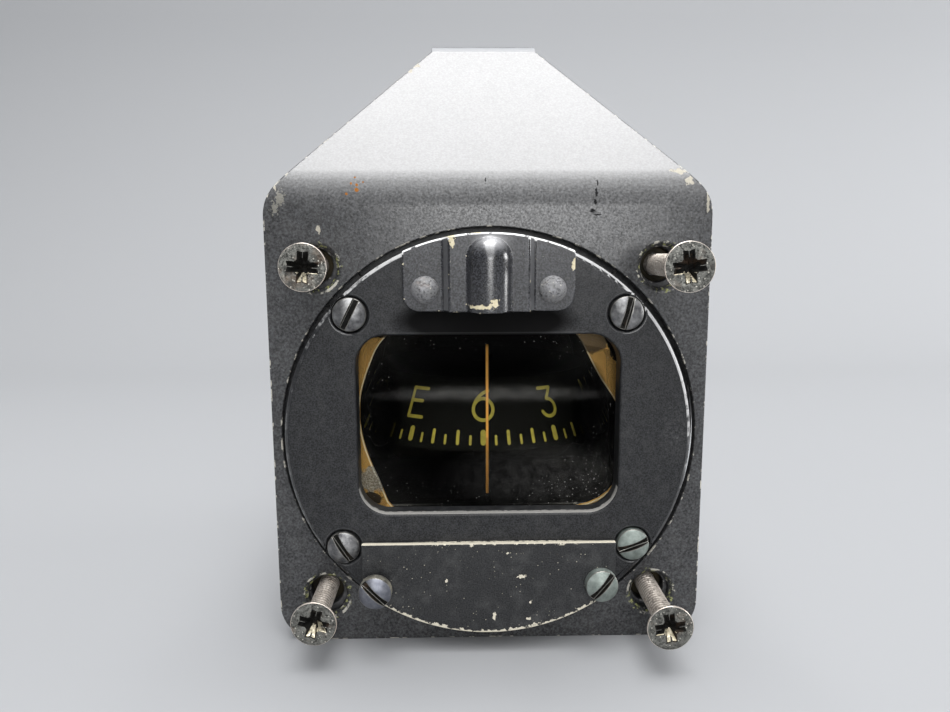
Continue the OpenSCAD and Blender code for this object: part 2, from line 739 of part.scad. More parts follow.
// Lamp cover: two flanges, a step up to its middle, and a hollow half tube with a domed top
module lamp_cover() {
    half_w = lamp_w / 2;
    flange_y = face_y - lamp_flange_t;
    step_y = flange_y - lamp_step_out;
    step_top_x = lamp_step_x - lamp_step_run;
    color("#212327") in_compass() difference() {
        union() {
            intersection() {
                bar_y(bezel_r, lamp_y - lamp_tube_r, face_y);
                slab(lamp_y - lamp_tube_r - over, face_y + over) translate([0, bezel_r])
                    round_rect(lamp_w, 2 * (bezel_r - lamp_bottom), lamp_corner_r);
                translate([0, 0, lamp_bottom]) linear_extrude(bezel_r)
                    polygon([[-half_w, face_y], [-half_w, flange_y], [-lamp_step_x, flange_y],
                             [-step_top_x, step_y], [step_top_x, step_y],
                             [lamp_step_x, flange_y], [half_w, flange_y], [half_w, face_y]]);
            }
            bar_z(lamp_tube_r, lamp_bottom, lamp_dome_z, lamp_y);
            intersection() {
                translate([0, lamp_y, lamp_dome_z]) sphere(lamp_tube_r);
                bar_z(lamp_tube_r + over, lamp_dome_z, bezel_r, lamp_y);
            }
        }
        bar_z(lamp_bore_r, lamp_bottom - over, lamp_bore_top, lamp_y);
        bar_y(lead_r, lamp_y, face_y + over, 0, lead_z);
        block([-bezel_r, face_y, -bezel_r], [bezel_r, bowl_y, bezel_r]);
        for (side = [-1, 1])
            bar_y(rivet_shank_r + fit, flange_y - over, face_y + over, side * rivet_x, rivet_z);
    }
}

// Two domed rivets that hold the lamp cover on the bezel
module lamp_cover_rivets() {
    flange_y = face_y - lamp_flange_t;
    color("#55544f") in_compass() for (side = [-1, 1]) translate([side * rivet_x, 0, rivet_z]) {
        translate([0, flange_y, 0]) rotate([90, 0, 0]) dome(rivet_d / 2, rivet_h);
        bar_y(rivet_shank_r, flange_y, face_y + rivet_grip - 0.1);
    }
}

// Glass bulb, pointing down
module lamp_bulb() {
    bulb_r = bulb_d / 2;
    color("#e8e4d8", 0.6) in_compass() translate([0, lamp_y, 0]) {
        bar_z(bulb_r, bulb_bottom + bulb_r, lamp_base_z);
        intersection() {
            translate([0, 0, bulb_bottom + bulb_r]) sphere(bulb_r);
            bar_z(bulb_r + over, bulb_bottom, bulb_bottom + bulb_r);
        }
    }
}

// Brass base of the bulb, with a solder tip
module lamp_base() {
    color("#b59a55") in_compass() {
        bar_z(lamp_base_r, lamp_base_z, lamp_base_z + lamp_base_h, lamp_y);
        bar_z(lamp_base_r / 2, lamp_base_z + lamp_base_h, socket_top, lamp_y);
    }
}

// Fibre sleeve that holds the lamp's base in the cover
module lamp_socket() {
    color("#5b4630") in_compass() difference() {
        bar_z(lamp_bore_r - fit, socket_top - socket_h, socket_top, lamp_y);
        bar_z(lamp_bore_r - fit - socket_wall, socket_top - socket_h - over, socket_top + over, lamp_y);
    }
}

// Rubber grommet where the lamp's lead leaves the bowl
module lead_grommet() {
    color("#17171a") in_compass() difference() {
        union() {
            bar_z(grommet_neck_r, lead_z + lead_r, grommet_boss_z, lead_turn_y);
            bar_z(grommet_flange_r, grommet_boss_z, grommet_boss_z + grommet_flange_h, lead_turn_y);
        }
        bar_z(lead_r, lead_z, grommet_boss_z + grommet_flange_h + over, lead_turn_y);
    }
}

// Plate over the compensator's slot, straight above and round below
module compensator_cover() {
    color("#26282c") in_compass() difference() {
        slab(face_y - cover_t, face_y) intersection() {
            circle(bezel_r - cover_edge);
            translate([-cover_w / 2, -bezel_r]) square([cover_w, bezel_r - cover_top]);
        }
        for (side = [-1, 1])
            bar_y(face_thread_d / 2 + cover_hole_gap, face_y - cover_t - over, face_y + over,
                  side * cover_screw_x, cover_screw_z);
    }
}

// Two slotted screws of the cover, the left one partly backed out
module compensator_cover_screws() {
    places = [[-1, cover_screw_out, -45], [1, 0, 50]];
    color("#5a5e63") in_compass() for (p = places)
        translate([p[0] * cover_screw_x, face_y - cover_t - p[1], cover_screw_z]) rotate([90, 0, 0])
            slotted_screw(slot_head_d / 2, slot_head_h, slot_dome_h, face_thread_d / 2,
                          cover_screw_len, panel_pitch, p[2]);
}

// Brass frame of the compensator: two plates on a spine, with two arms for the cross spindle
module compensator_frame() {
    outline_top = chamber_top - frame_gap;
    back_plate = chamber_back - frame_plate_t;
    front_back = bowl_y + frame_plate_t;
    color("#b08f4f") in_compass() difference() {
        intersection() {
            bar_y(frame_r, bowl_y, chamber_back);
            union() {
                for (y = [bowl_y, back_plate])
                    block([-frame_half_w, y, -bezel_r], [frame_half_w, y + frame_plate_t, outline_top]);
                block([-spine_half_w, bowl_y, spine_z], [spine_half_w, chamber_back, spine_z + spine_h]);
                for (x = [inner_arm_x - arm_t, outer_arm_x])
                    block([x, bowl_y, adjuster_z - arm_half_h],
                          [x + arm_t, gear_y + arm_past, adjuster_z + arm_half_h]);
            }
        }
        for (side = [-1, 1])
            bar_y(spindle_r + run, bowl_y - over, front_back + over, side * adjuster_x, adjuster_z);
        bar_y(spindle_r + run, back_plate - over, chamber_back - frame_plate_t / 3, -adjuster_x, adjuster_z);
        bar_x(cross_r + run, inner_arm_x - arm_t - over, outer_arm_x + arm_t + over, gear_y, adjuster_z);
    }
}

// East-west adjuster: a spindle with a slotted head and a carrier for its magnet
module east_west_adjuster() {
    color("#c2a55d") in_compass() difference() {
        union() {
            adjuster_spindle(-adjuster_x, chamber_back - frame_plate_t / 2);
            bar_y(carrier_r, carrier_y - carrier_len / 2, carrier_y + carrier_len / 2,
                  -adjuster_x, adjuster_z);
        }
        bar_x(magnet_r + fit, -adjuster_x - comp_magnet_len, -adjuster_x + comp_magnet_len,
              carrier_y, adjuster_z);
    }
}

// Bar magnet across the east-west spindle
module east_west_magnet() {
    color("#7d8085") in_compass()
        bar_x(magnet_r, -adjuster_x - comp_magnet_len / 2, -adjuster_x + comp_magnet_len / 2,
              carrier_y, adjuster_z);
}

// North-south adjuster: a spindle with a slotted head and a bevel gear on its end
module north_south_adjuster() {
    color("#c2a55d") in_compass() {
        adjuster_spindle(adjuster_x, gear_y - gear_r - gear_hub_len + over);
        translate([adjuster_x, gear_y, adjuster_z]) rotate([-90, 0, 0]) bevel_gear(0);
    }
}

// Cross spindle: the mating bevel gear, a collar and a carrier for its magnet
module north_south_cross_spindle() {
    gear_back = adjuster_x + gear_r + gear_hub_len;
    color("#c2a55d") in_compass() difference() {
        union() {
            translate([adjuster_x, gear_y, adjuster_z]) rotate([0, -90, 0]) bevel_gear(180 / gear_teeth);
            bar_x(cross_r, inner_arm_x - arm_t, gear_back + arm_gap + arm_t, gear_y, adjuster_z);
            bar_x(collar_r, inner_arm_x + arm_gap, inner_arm_x + arm_gap + collar_len, gear_y, adjuster_z);
            bar_x(cross_carrier_r, cross_magnet_x - cross_carrier_len / 2,
                  cross_magnet_x + cross_carrier_len / 2, gear_y, adjuster_z);
        }
        translate([cross_magnet_x, gear_y, adjuster_z - comp_magnet_len])
            cylinder(h = 2 * comp_magnet_len, r = magnet_r + fit);
    }
}

// Bar magnet across the cross spindle
module north_south_magnet() {
    color("#7d8085") in_compass() translate([cross_magnet_x, gear_y, adjuster_z - comp_magnet_len / 2])
        cylinder(h = comp_magnet_len, r = magnet_r);
}

// Friction washers under the adjusters' heads
module adjuster_washers() {
    color("#8e8f8c") in_compass() for (side = [-1, 1]) difference() {
        bar_y(washer_r, bowl_y - washer_t, bowl_y, side * adjuster_x, adjuster_z);
        bar_y(spindle_r + run, bowl_y - washer_t - over, bowl_y + over, side * adjuster_x, adjuster_z);
    }
}

// Post on the bowl's floor that carries the jewel
module jewel_post() {
    color("#b08f4f") on_axis() difference() {
        union() {
            bar_z(post_flange_r, floor_z, floor_z + post_flange_h);
            bar_z(post_r, floor_z, post_top_z);
        }
        bar_z(stem_r + fit, post_top_z - stem_len - over, post_top_z + over);
    }
}

// Carrier that seats in the post and holds the jewel up
module jewel_carrier() {
    color("#c2a55d") on_axis() {
        bar_z(post_r, post_top_z, jewel_z);
        bar_z(stem_r, post_top_z - stem_len, jewel_z);
    }
}

// Jewel with a conical cup for the pivot
module jewel() {
    color("#9a2f3d") on_axis() difference() {
        bar_z(jewel_r, jewel_z, jewel_z + jewel_h);
        translate([0, 0, jewel_z + jewel_h - cup_h]) cylinder(h = cup_h, r1 = cup_floor_r, r2 = cup_r);
    }
}

// Card: a hollow cone that carries the scale on its outside
module card() {
    inner_top_r = card_r - card_skin - (card_h - card_t) * tan(card_slope);
    color("#17181a") on_axis() rotate_extrude() polygon([
        [card_r, card_rim_z], [card_top_r, card_top_z], [hub_r + fit, card_top_z],
        [hub_r + fit, float_top_z], [inner_top_r, float_top_z], [card_r - card_skin, card_rim_z]]);
}

// Ring-shaped float under the card's top, open below
module card_float() {
    color("#8d8f90") on_axis() rotate_extrude() polygon([
        [well_r, float_base_z], [well_r, float_top_z], [float_r, float_top_z], [float_r, float_base_z],
        [float_r - card_t, float_base_z], [float_r - card_t, float_top_z - card_t],
        [well_r + card_t, float_top_z - card_t], [well_r + card_t, float_base_z]]);
}

// Ring that closes the float from below
module float_base() {
    color("#9b9d9e") on_axis() difference() {
        bar_z(float_r, float_base_z - card_t, float_base_z);
        bar_z(well_r, float_base_z - card_t - over, float_base_z + over);
    }
}

// Hub that closes the float's well and holds the pivot
module card_hub() {
    color("#b08f4f") on_axis() difference() {
        union() {
            bar_z(hub_r, float_top_z, card_top_z);
            bar_z(hub_stem_r, float_top_z - hub_stem_down, card_top_z + hub_cap_h);
        }
        bar_z(pivot_r + fit, float_top_z - hub_stem_down - over, card_top_z + hub_cap_h - over / 2);
    }
}

// Pivot: a steel needle that stands on the jewel
module pivot() {
    color("#c8cacc") on_axis() {
        bar_z(pivot_r, pivot_tip_z + pivot_cone_h, card_top_z + hub_cap_h - over / 2);
        translate([0, 0, pivot_tip_z]) cylinder(h = pivot_cone_h, r1 = pivot_tip_r, r2 = pivot_r);
    }
}

// Two bar magnets under the float, along the card's north-south line
module card_magnets() {
    color("#6d7075") on_axis() for (side = [-1, 1])
        translate([side * card_magnet_x, 0, float_base_z - card_t - card_magnet_w / 2])
            cube([card_magnet_w, card_magnet_len, card_magnet_w], center = true);
}

// Rippled metal diaphragm that lets the liquid expand
module diaphragm() {
    steps = ripple_count * ripple_steps;
    front = [for (i = [0:steps])
        [rear_chamber_r * i / steps, ripple_h / 2 * (1 - cos(360 * i / ripple_steps))]];
    back = [for (i = [0:steps]) front[steps - i] + [0, diaphragm_t]];
    color("#a8a49a") in_compass() difference() {
        translate([0, diaphragm_y, 0]) rotate([-90, 0, 0]) rotate_extrude()
            polygon(concat(front, [[bowl_r, 0], [bowl_r, diaphragm_t]], back));
        at_rear_screws() bar_y(rear_screw_r + rear_hole_gap, diaphragm_y - over, rear_cover_y + over);
    }
}

// Flat gasket between the bowl and the diaphragm
module rear_gasket() {
    color("#9c7a4b") in_compass() difference() {
        bar_y(bowl_r, bowl_back, diaphragm_y);
        bar_y(rear_chamber_r, bowl_back - over, diaphragm_y + over);
        at_rear_screws() bar_y(rear_screw_r + rear_hole_gap, bowl_back - over, diaphragm_y + over);
        at_rear_screws() bar_y(rear_boss_r, bowl_back - over, bowl_back);
    }
}

// Rear cover: a flange with a shallow dome, and a vent in its middle
module rear_cover() {
    dome_y = rear_face_y + rear_dome_h;
    color("#1f2023") in_compass() difference() {
        union() {
            bar_y(bowl_r, rear_cover_y, rear_face_y);
            translate([0, rear_cover_y, 0]) rotate([-90, 0, 0])
                rounded_disc(rear_chamber_r + rear_shell, dome_y - rear_cover_y, rear_edge_r);
        }
        bar_y(rear_chamber_r, rear_cover_y - over, dome_y - rear_shell);
        bar_y(vent_r, rear_cover_y, dome_y + over);
        at_rear_screws() bar_y(rear_screw_r + rear_hole_gap, rear_cover_y - over, rear_face_y + over);
    }
}

// Six screws that clamp the rear cover, the diaphragm and the gasket to the bowl
module rear_cover_screws() {
    color("#77797a") in_compass() at_rear_screws() translate([0, rear_face_y, 0]) rotate([-90, 0, 0])
        difference() {
            union() {
                cylinder(h = rear_head_h, r = rear_head_r);
                translate([0, 0, rear_head_h]) dome(rear_head_r, rear_dome_screw_h);
                translate([0, 0, -rear_screw_len]) cylinder(h = rear_screw_len, r = rear_screw_r);
            }
            block([-rear_head_r - over, -slot_w / 3, rear_head_h / 2],
                  [rear_head_r + over, slot_w / 3, rear_head_h + rear_dome_screw_h + over]);
        }
}

// Six-sided plug in the filling hole
module filler_plug() {
    seat = filler_boss_z + filler_washer_t;
    color("#b59a55") in_compass() {
        translate([0, filler_y, seat]) cylinder(h = filler_head_h, r = filler_head_r, $fn = 6);
        bar_z(filler_thread_r, seat - filler_len, seat, filler_y);
    }
}

// Sealing washer under the plug
module filler_washer() {
    color("#8a5a3c") in_compass() difference() {
        bar_z(filler_washer_r, filler_boss_z, filler_boss_z + filler_washer_t, filler_y);
        bar_z(filler_thread_r + fit, filler_boss_z - over, filler_boss_z + filler_washer_t + over, filler_y);
    }
}

mounting_bracket();
panel_screws();
bowl();
ear_inserts();
bezel();
bezel_screws();
lens();
lens_gasket();
lubber_line();
lamp_cover();
lamp_cover_rivets();
lamp_bulb();
lamp_base();
lamp_socket();
lead_grommet();
compensator_cover();
compensator_cover_screws();
compensator_frame();
east_west_adjuster();
east_west_magnet();
north_south_adjuster();
north_south_cross_spindle();
north_south_magnet();
adjuster_washers();
jewel_post();
jewel_carrier();
jewel();
card();
card_float();
float_base();
card_hub();
pivot();
card_magnets();
diaphragm();
rear_gasket();
rear_cover();
rear_cover_screws();
filler_plug();
filler_washer();
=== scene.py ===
import json
import math

import bpy
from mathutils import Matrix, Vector

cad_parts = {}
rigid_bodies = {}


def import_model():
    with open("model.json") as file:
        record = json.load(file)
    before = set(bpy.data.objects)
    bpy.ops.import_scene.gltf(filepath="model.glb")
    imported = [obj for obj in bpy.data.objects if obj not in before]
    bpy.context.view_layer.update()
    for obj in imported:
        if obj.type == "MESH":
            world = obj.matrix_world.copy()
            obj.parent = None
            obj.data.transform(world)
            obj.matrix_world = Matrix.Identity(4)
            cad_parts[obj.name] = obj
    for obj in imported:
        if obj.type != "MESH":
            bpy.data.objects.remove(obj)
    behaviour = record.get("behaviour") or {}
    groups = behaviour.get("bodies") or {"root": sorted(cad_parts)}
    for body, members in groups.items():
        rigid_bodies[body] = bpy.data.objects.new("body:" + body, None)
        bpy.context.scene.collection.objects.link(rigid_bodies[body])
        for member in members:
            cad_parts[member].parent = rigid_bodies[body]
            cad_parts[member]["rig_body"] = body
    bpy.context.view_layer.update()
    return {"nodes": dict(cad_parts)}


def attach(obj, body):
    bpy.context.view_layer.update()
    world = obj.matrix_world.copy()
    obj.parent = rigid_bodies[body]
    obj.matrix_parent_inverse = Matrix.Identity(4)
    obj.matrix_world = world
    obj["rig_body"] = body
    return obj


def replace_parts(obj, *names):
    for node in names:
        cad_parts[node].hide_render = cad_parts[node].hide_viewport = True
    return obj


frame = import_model()

# Bracket: one sheet of aluminium, cut out for the compass and bent back to a tongue and a tab.
# It is sprayed with a fine-grained black paint, chipped to the cream primer along its edges,
# and it hangs by the tab, whose bend is pale: rubbed, and painted highlight.
mm = 0.001
nodes = frame["nodes"]


class Field:
    """A number, colour or vector that changes over a surface: one socket of a material's nodes."""

    def __init__(self, tree, socket):
        self.tree, self.socket = tree, socket

    def node(self, kind, settings=None, inputs=None, out=0):
        made = self.tree.nodes.new("ShaderNode" + kind)
        for name, value in (settings or {}).items():
            setattr(made, name, value)
        for name, value in (inputs or {}).items():
            if isinstance(value, Field):
                self.tree.links.new(value.socket, made.inputs[name])
            else:
                made.inputs[name].default_value = value
        return Field(self.tree, made.outputs[out]) if made.outputs else None

    def also(self, out):
        return Field(self.tree, self.socket.node.outputs[out])

    def math(self, operation, first, second):
        return self.node("Math", {"operation": operation}, {0: first, 1: second})

    def __add__(self, other):
        return self.math("ADD", self, other)

    def __sub__(self, other):
        return self.math("SUBTRACT", self, other)

    def __rsub__(self, other):
        return self.math("SUBTRACT", other, self)

    def __mul__(self, other):
        return self.math("MULTIPLY", self, other)

    def __or__(self, other):
        return self.math("MAXIMUM", self, other)

    __radd__, __rmul__, __ror__ = __add__, __mul__, __or__

    def in_mm(self):
        """The three coordinates of a place, in mm."""
        split = self.node("SeparateXYZ", None, {"Vector": self}, "X")
        return [part * (1 / mm) for part in (split, split.also("Y"), split.also("Z"))]


def new_finish(name):
    finish = bpy.data.materials.new(name)
    finish.use_nodes = True
    tree = finish.node_tree
    tree.nodes.clear()
    return finish, Field(tree, tree.nodes.new("ShaderNodeTexCoord").outputs["Object"])


def noise(place, size, detail=3.0):
    """Cloudy noise about 0.5, with lumps of that size in mm."""
    inputs = {"Vector": place, "Scale": 1 / (size * mm), "Detail": detail, "Roughness": 0.6}
    return place.node("TexNoise", None, inputs, "Fac")


def ramp(value, low, high):
    """A rise from 0 at low to 1 at high, where low may be the larger number."""
    return value.node("MapRange", None, {"Value": value, "From Min": low, "From Max": high})


def tone(colour, share=1.0):
    """A colour made darker or lighter, with its alpha."""
    return [share * part for part in colour[:3]] + [1]


def tint(mask, under, over):
    """One colour laid over another where the mask is 1."""
    return mask.node("Mix", {"data_type": "RGBA"}, {0: mask, 6: under, 7: over}, 2)


def specks(place, spacing, radius, share):
    """Round specks, in that share of cells of that spacing."""
    cell = place.node("TexVoronoi", None, {"Vector": place, "Scale": 1 / (spacing * mm)}, "Distance")
    lot = cell.node("SeparateColor", None, {"Color": cell.also("Color")}, "Red")
    return ramp(cell, radius / spacing, 0.5 * radius / spacing) * ramp(lot, 1 - share, 1.001 - share)


def away(place, centre, reach):
    """Distance from a centre, in reaches, each given for X, Y and Z in mm."""
    step = place.node("VectorMath", {"operation": "SUBTRACT"}, {0: place, 1: [c * mm for c in centre]})
    step = step.node("VectorMath", {"operation": "DIVIDE"}, {0: step, 1: [r * mm for r in reach]})
    return step.node("VectorMath", {"operation": "LENGTH"}, {0: step}, "Value")


def patches(place, spots, ragged=3.2, size=0.9):
    """Ragged patches round the given centres and reaches."""
    edge = (noise(place, size, 6) - 0.5) * ragged
    mask = None
    for centre, reach in spots:
        spot = ramp(away(place, centre, reach) + edge, 1.03, 0.93)
        mask = spot if mask is None else mask | spot
    return mask


def relief(place, height, depth):
    """A bump of that depth in mm."""
    return place.node("Bump", None, {"Height": height, "Strength": 1.0, "Distance": depth * mm})


def surface(place, **inputs):
    shader = place.node("BsdfPrincipled", None, {k.replace("_", " "): v for k, v in inputs.items()})
    place.node("OutputMaterial", None, {"Surface": shader})


def broken_edges(node, name, edge, finishes, steps=2, sharp=30, least=0.0):
    """A copy of a solid with its edges broken, its last finish on the broken edges, in its place."""
    same_point, same_plane, least_smooth = 0.002 * mm, math.radians(0.4), 46
    source = nodes[node]
    piece = bpy.data.objects.new(name, source.data.copy())
    bpy.context.scene.collection.objects.link(piece)
    bpy.ops.object.select_all(action="DESELECT")
    piece.select_set(True)
    bpy.context.view_layer.objects.active = piece
    piece.data.materials.clear()
    for finish in finishes:
        piece.data.materials.append(finish)
    bpy.ops.mesh.customdata_custom_splitnormals_clear()
    bpy.ops.object.mode_set(mode="EDIT")
    bpy.ops.mesh.select_all(action="SELECT")
    bpy.ops.mesh.remove_doubles(threshold=same_point)
    bpy.ops.mesh.dissolve_limited(angle_limit=same_plane)
    bpy.ops.object.mode_set(mode="OBJECT")
    bevel = piece.modifiers.new("broken", "BEVEL")
    bevel.width, bevel.segments = edge * mm, steps
    bevel.limit_method, bevel.angle_limit = "ANGLE", math.radians(sharp)
    bevel.use_clamp_overlap = False
    bevel.material = len(finishes) - 1
    bpy.ops.object.modifier_apply(modifier="broken")
    if least:
        bpy.ops.object.mode_set(mode="EDIT")
        bpy.ops.mesh.select_all(action="SELECT")
        bpy.ops.mesh.dissolve_degenerate(threshold=least * mm)
        bpy.ops.object.mode_set(mode="OBJECT")
    bpy.ops.object.shade_smooth_by_angle(angle=math.radians(max(sharp, least_smooth)))
    flats = piece.modifiers.new("flats", "WEIGHTED_NORMAL")
    flats.keep_sharp = True
    bpy.ops.object.modifier_apply(modifier="flats")
    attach(piece, source["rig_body"])
    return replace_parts(piece, node)


cream = (0.44, 0.41, 0.34, 1)
dust_grey = (0.20, 0.20, 0.195, 1)


def painted(name, colour, rough, grain, depth, dust, chips=None, bare=cream, extra=None, shine=0.6, coat=0.0):
    """Black paint with a fine grain, dust and specks, marked by extra and chipped where chips says."""
    finish, place = new_finish(name)
    broad, fine = noise(place, 11, 3), noise(place, grain, 3)
    base = tint(ramp(fine, 0.38, 0.66), tone(colour, 0.3), tone(colour, 2.3))
    film = ramp(noise(place, 2.4, 6) + 0.5 * broad, 0.72, 1.05) * dust
    grit = specks(place, 0.9, 0.09, 0.22) * ramp(broad + 0.4 * noise(place, 3.5, 3), 0.55, 0.85)
    base = tint(film | grit * min(1.0, 4 * dust), base, dust_grey)
    height, gloss = fine, 1 - grit
    roughness = rough + 0.1 * (broad - 0.5) + 0.2 * film
    if extra:
        base, dull = extra(place, base)
        gloss, roughness = gloss * (1 - dull), roughness + 0.45 * dull
    if chips:
        chip = chips(place)
        base = tint(chip, base, tint(fine, tone(bare, 0.6), bare))
        height, gloss, roughness = fine - 2.5 * chip, gloss * (1 - chip), roughness + 0.15 * chip
    surface(place, Base_Color=base, Roughness=roughness, Normal=relief(place, height, depth),
            Specular_IOR_Level=shine, Coat_Weight=gloss * coat if coat else 0.0, Coat_Roughness=0.22)
    return finish


bracket_black = (0.021, 0.0215, 0.023)
worn_cream = (0.5, 0.48, 0.42, 1)
rust_brown = (0.24, 0.085, 0.01, 1)
scuff_cream = (0.42, 0.40, 0.33, 1)
scratch_black = (0.004, 0.004, 0.005, 1)
rubbed_highlight_grey = (0.36, 0.37, 0.39, 1)
ring_green = (0.30, 0.31, 0.12, 1)
shoulder_chips = [((-34.6, 4.2, 92.0), (0.4, 1.0, 0.9)), ((-36.5, 1.3, 89.0), (0.3, 1.0, 1.0)),
                  ((-38.3, -0.5, 86.6), (0.3, 1.0, 1.1)), ((34.7, 1.6, 89.2), (1.6, 1.5, 0.5)),
                  ((36.3, -0.2, 87.6), (0.8, 1.2, 0.9)), ((39.5, -0.6, 83.2), (0.3, 1.0, 1.8)),
                  ((-14.3, 25.8, 113.4), (0.9, 1.2, 0.9)), ((-15.6, 24.5, 112.1), (0.6, 0.9, 0.7)),
                  ((-30.6, -1, 78.9), (0.35, 1.0, 0.75))]
scuffs = [((-37.3, -1, 84.3), (0.7, 2, 1.3)), ((-38.3, -1, 82.6), (0.6, 2, 1.0))]
rust_specks = [((-24.1, 0, 88.1), (0.17, 3, 0.17)), ((-24.7, 0, 87.0), (0.2, 3, 0.2)),
               ((-23.7, 0, 86.7), (0.26, 3, 0.26)), ((-23.7, 0, 85.8), (0.38, 3, 0.36)),
               ((-25.5, 0, 85.1), (0.26, 3, 0.24)), ((-22.6, 0, 87.2), (0.16, 3, 0.16))]
scratches = [((19.6, 0, 87.0), (0.14, 3, 0.5)), ((19.3, 0, 85.3), (0.2, 3, 0.8)),
             ((19.1, -1, 83.6), (0.22, 3, 0.5)), ((18.7, -1, 82.0), (0.5, 3, 0.3)),
             ((19.5, -1, 81.3), (0.6, 3, 0.16)), ((-0.6, 0, 87.6), (0.14, 3, 0.5))]
screw_spot, plate_mid = 31.43, 40.5
hole_rings = [((side * screw_spot, -1, up * screw_spot + plate_mid), (4.5, 1.6, 4.5))
              for side in (-1, 1) for up in (-1, 1)]
tab_bend_z, tab_bend_y = (116.7, 117.4), (32.6, 31.2)
plate_top = (90, 85)


def bracket_marks(place, base):
    """Rust, scuffs, scratches, worn rings round the holes, the tab's pale bend, rubbed and painted highlight,
    and a matt grain.
    """
    rust = patches(place, rust_specks, 1.4, 0.3)
    base = tint(rust, base, rust_brown)
    base = tint(patches(place, scuffs, 4.6, 0.5) * 0.3, base, scuff_cream)
    scratch = patches(place, scratches, 3.4, 0.4)
    base = tint(scratch, base, scratch_black)
    worn = patches(place, hole_rings, 0.9, 1.1) * ramp(noise(place, 0.8, 5), 0.52, 0.6)
    _, y, z = place.in_mm()
    # Painted highlight: the outside of the tab's bend is made pale grey, over real rubbing.
    rubbed_and_highlit = ramp(z, *tab_bend_z) * ramp(y + noise(place, 2.0, 5), *tab_bend_y)
    base = tint(rubbed_and_highlit * 0.6, base, rubbed_highlight_grey)
    matt = ramp(noise(place, 0.36, 3), 0.62, 0.38) * ramp(z, *plate_top) * 0.6
    return tint(worn, base, ring_green), rust | scratch | worn | matt


def bracket_chips(place):
    return patches(place, shoulder_chips)


def bracket_edge_chips(place):
    return ramp(noise(place, 1.6, 6), 0.55, 0.6) | bracket_chips(place)


bracket_paint = painted("bracket_paint", bracket_black, rough=0.55, grain=0.42, depth=0.017, dust=0.10,
                        chips=bracket_chips, extra=bracket_marks, shine=0.4, coat=0.9)
bracket_worn = painted("bracket_worn_edge", bracket_black, rough=0.55, grain=0.42, depth=0.012, dust=0.2,
                       chips=bracket_edge_chips, bare=worn_cream, extra=bracket_marks, shine=0.4, coat=0.9)
sheet = broken_edges("mounting_bracket", "bracket_sheet", 0.28, [bracket_paint, bracket_worn],
                     least=0.12)

# The outside of the bend over the plate takes the normals of a true round, so that it shades evenly.
bend_y, bend_z, bend_top, bend_r = 9.0, 82.5, 89.6, 10
sideways, on_round = 0.02, 0.06
normals = [corner.vector.copy() for corner in sheet.data.corner_normals]
for face in sheet.data.polygons:
    if abs(face.normal.x) >= sideways:
        continue
    for i in face.loop_indices:
        _, y, z = sheet.data.vertices[sheet.data.loops[i].vertex_index].co / mm
        off_round = abs(math.hypot(y - bend_y, z - bend_z) - bend_r)
        if bend_z - 0.01 < z < bend_top and off_round < on_round:
            normals[i] = Vector((0, y - bend_y, z - bend_z)).normalized()
sheet.data.normals_split_custom_set(normals)

# Bowl: an alloy casting, bored out for the card and its float and painted black outside.
# Inside it is dead black, and brass thread inserts are sunk in its four ears for the panel screws.
dial = (-0.3, 40.9)
inside_r = 35.0
bare_casting = (0.42, 0.41, 0.39, 1)


def bowl_edge_wear(place):
    return ramp(noise(place, 1.8, 5), 0.57, 0.62)


bowl_paint = painted("bowl_paint", (0.018, 0.018, 0.020), rough=0.45, grain=0.8, depth=0.05, dust=0.25)
bowl_worn = painted("bowl_worn_edge", (0.020, 0.020, 0.022), rough=0.42, grain=0.8, depth=0.04, dust=0.4,
                    chips=bowl_edge_wear, bare=bare_casting)
inner_black = painted("inner_black", (0.006, 0.006, 0.006), rough=0.6, grain=0.8, depth=0.02, dust=0.0,
                      shine=0.06)
bowl = broken_edges("bowl", "bowl_casting", 0.3, [bowl_paint, inner_black, bowl_worn])


def sort_faces(piece, choose):
    """Gives each face, apart from the broken edges, the finish that its centre in mm and normal ask for."""
    edge = len(piece.data.materials) - 1
    for face in piece.data.polygons:
        if face.material_index != edge:
            face.material_index = choose(face.center / mm, face.normal)


def off_axis(at):
    """Distance of a point from the dial's axis, in mm."""
    return math.hypot(at.x - dial[0], at.z - dial[1])


sort_faces(bowl, lambda at, normal: int(off_axis(at) < inside_r))


def metal(name, colour, rough, tarnish):
    """Bare or plated metal, with tarnish in cloudy patches and small pits."""
    finish, place = new_finish(name)
    cloud, fine = noise(place, 2.4, 5), noise(place, 0.5, 4)
    dull = ramp(cloud + 0.4 * fine, 0.55, 0.95)
    base = tint(dull, tone(colour), tone(tarnish))
    pit = (ramp(fine, 0.42, 0.34) + specks(place, 0.9, 0.09, 0.3)) * 0.15
    base = tint(pit, base, tone(tarnish, 0.25))
    surface(place, Base_Color=base, Metallic=1.0 - 0.5 * dull, Roughness=rough + 0.25 * dull + 0.2 * pit,
            Normal=relief(place, fine - pit, 0.01))
    return finish


def dress(finish, *names):
    """Gives solids that stay as they are their finish."""
    for name in names:
        nodes[name].data.materials.clear()
        nodes[name].data.materials.append(finish)


dark_brass = metal("dark_brass", (0.04, 0.033, 0.02), 0.5, (0.015, 0.014, 0.01))
# On the inserts the near-black brass is also painted shade inside the holes.
dress(dark_brass, "ear_inserts")

# Panel screws: four countersunk cross-head screws of plated steel, all backed part of the way out.
# Their heads are dark, pitted and dusty, with grime and painted shade in the recesses, and the threads have
# dulled to a warm grey. The upward faces of the recesses' lower arms are bright: rubbed by screwdrivers, and
# painted highlight.
screw_head_y = {(-1, 1): -10.5, (1, 1): -18.5, (-1, -1): -12.5, (1, -1): -15.5}
recess_r, recess_depth, recess_edge, head_rim = 2.65, 2.45, 0.2, 0.6
head_flat, head_area = 0.04, 0.6 * mm * mm
lit_slope, lit_below = 0.45, -0.8
thread_groove = (1.6, 2.0)
grit_pale = (0.62, 0.60, 0.53, 1)
stain_brown = (0.24, 0.14, 0.08, 1)
groove_brown = (0.05, 0.035, 0.025, 1)


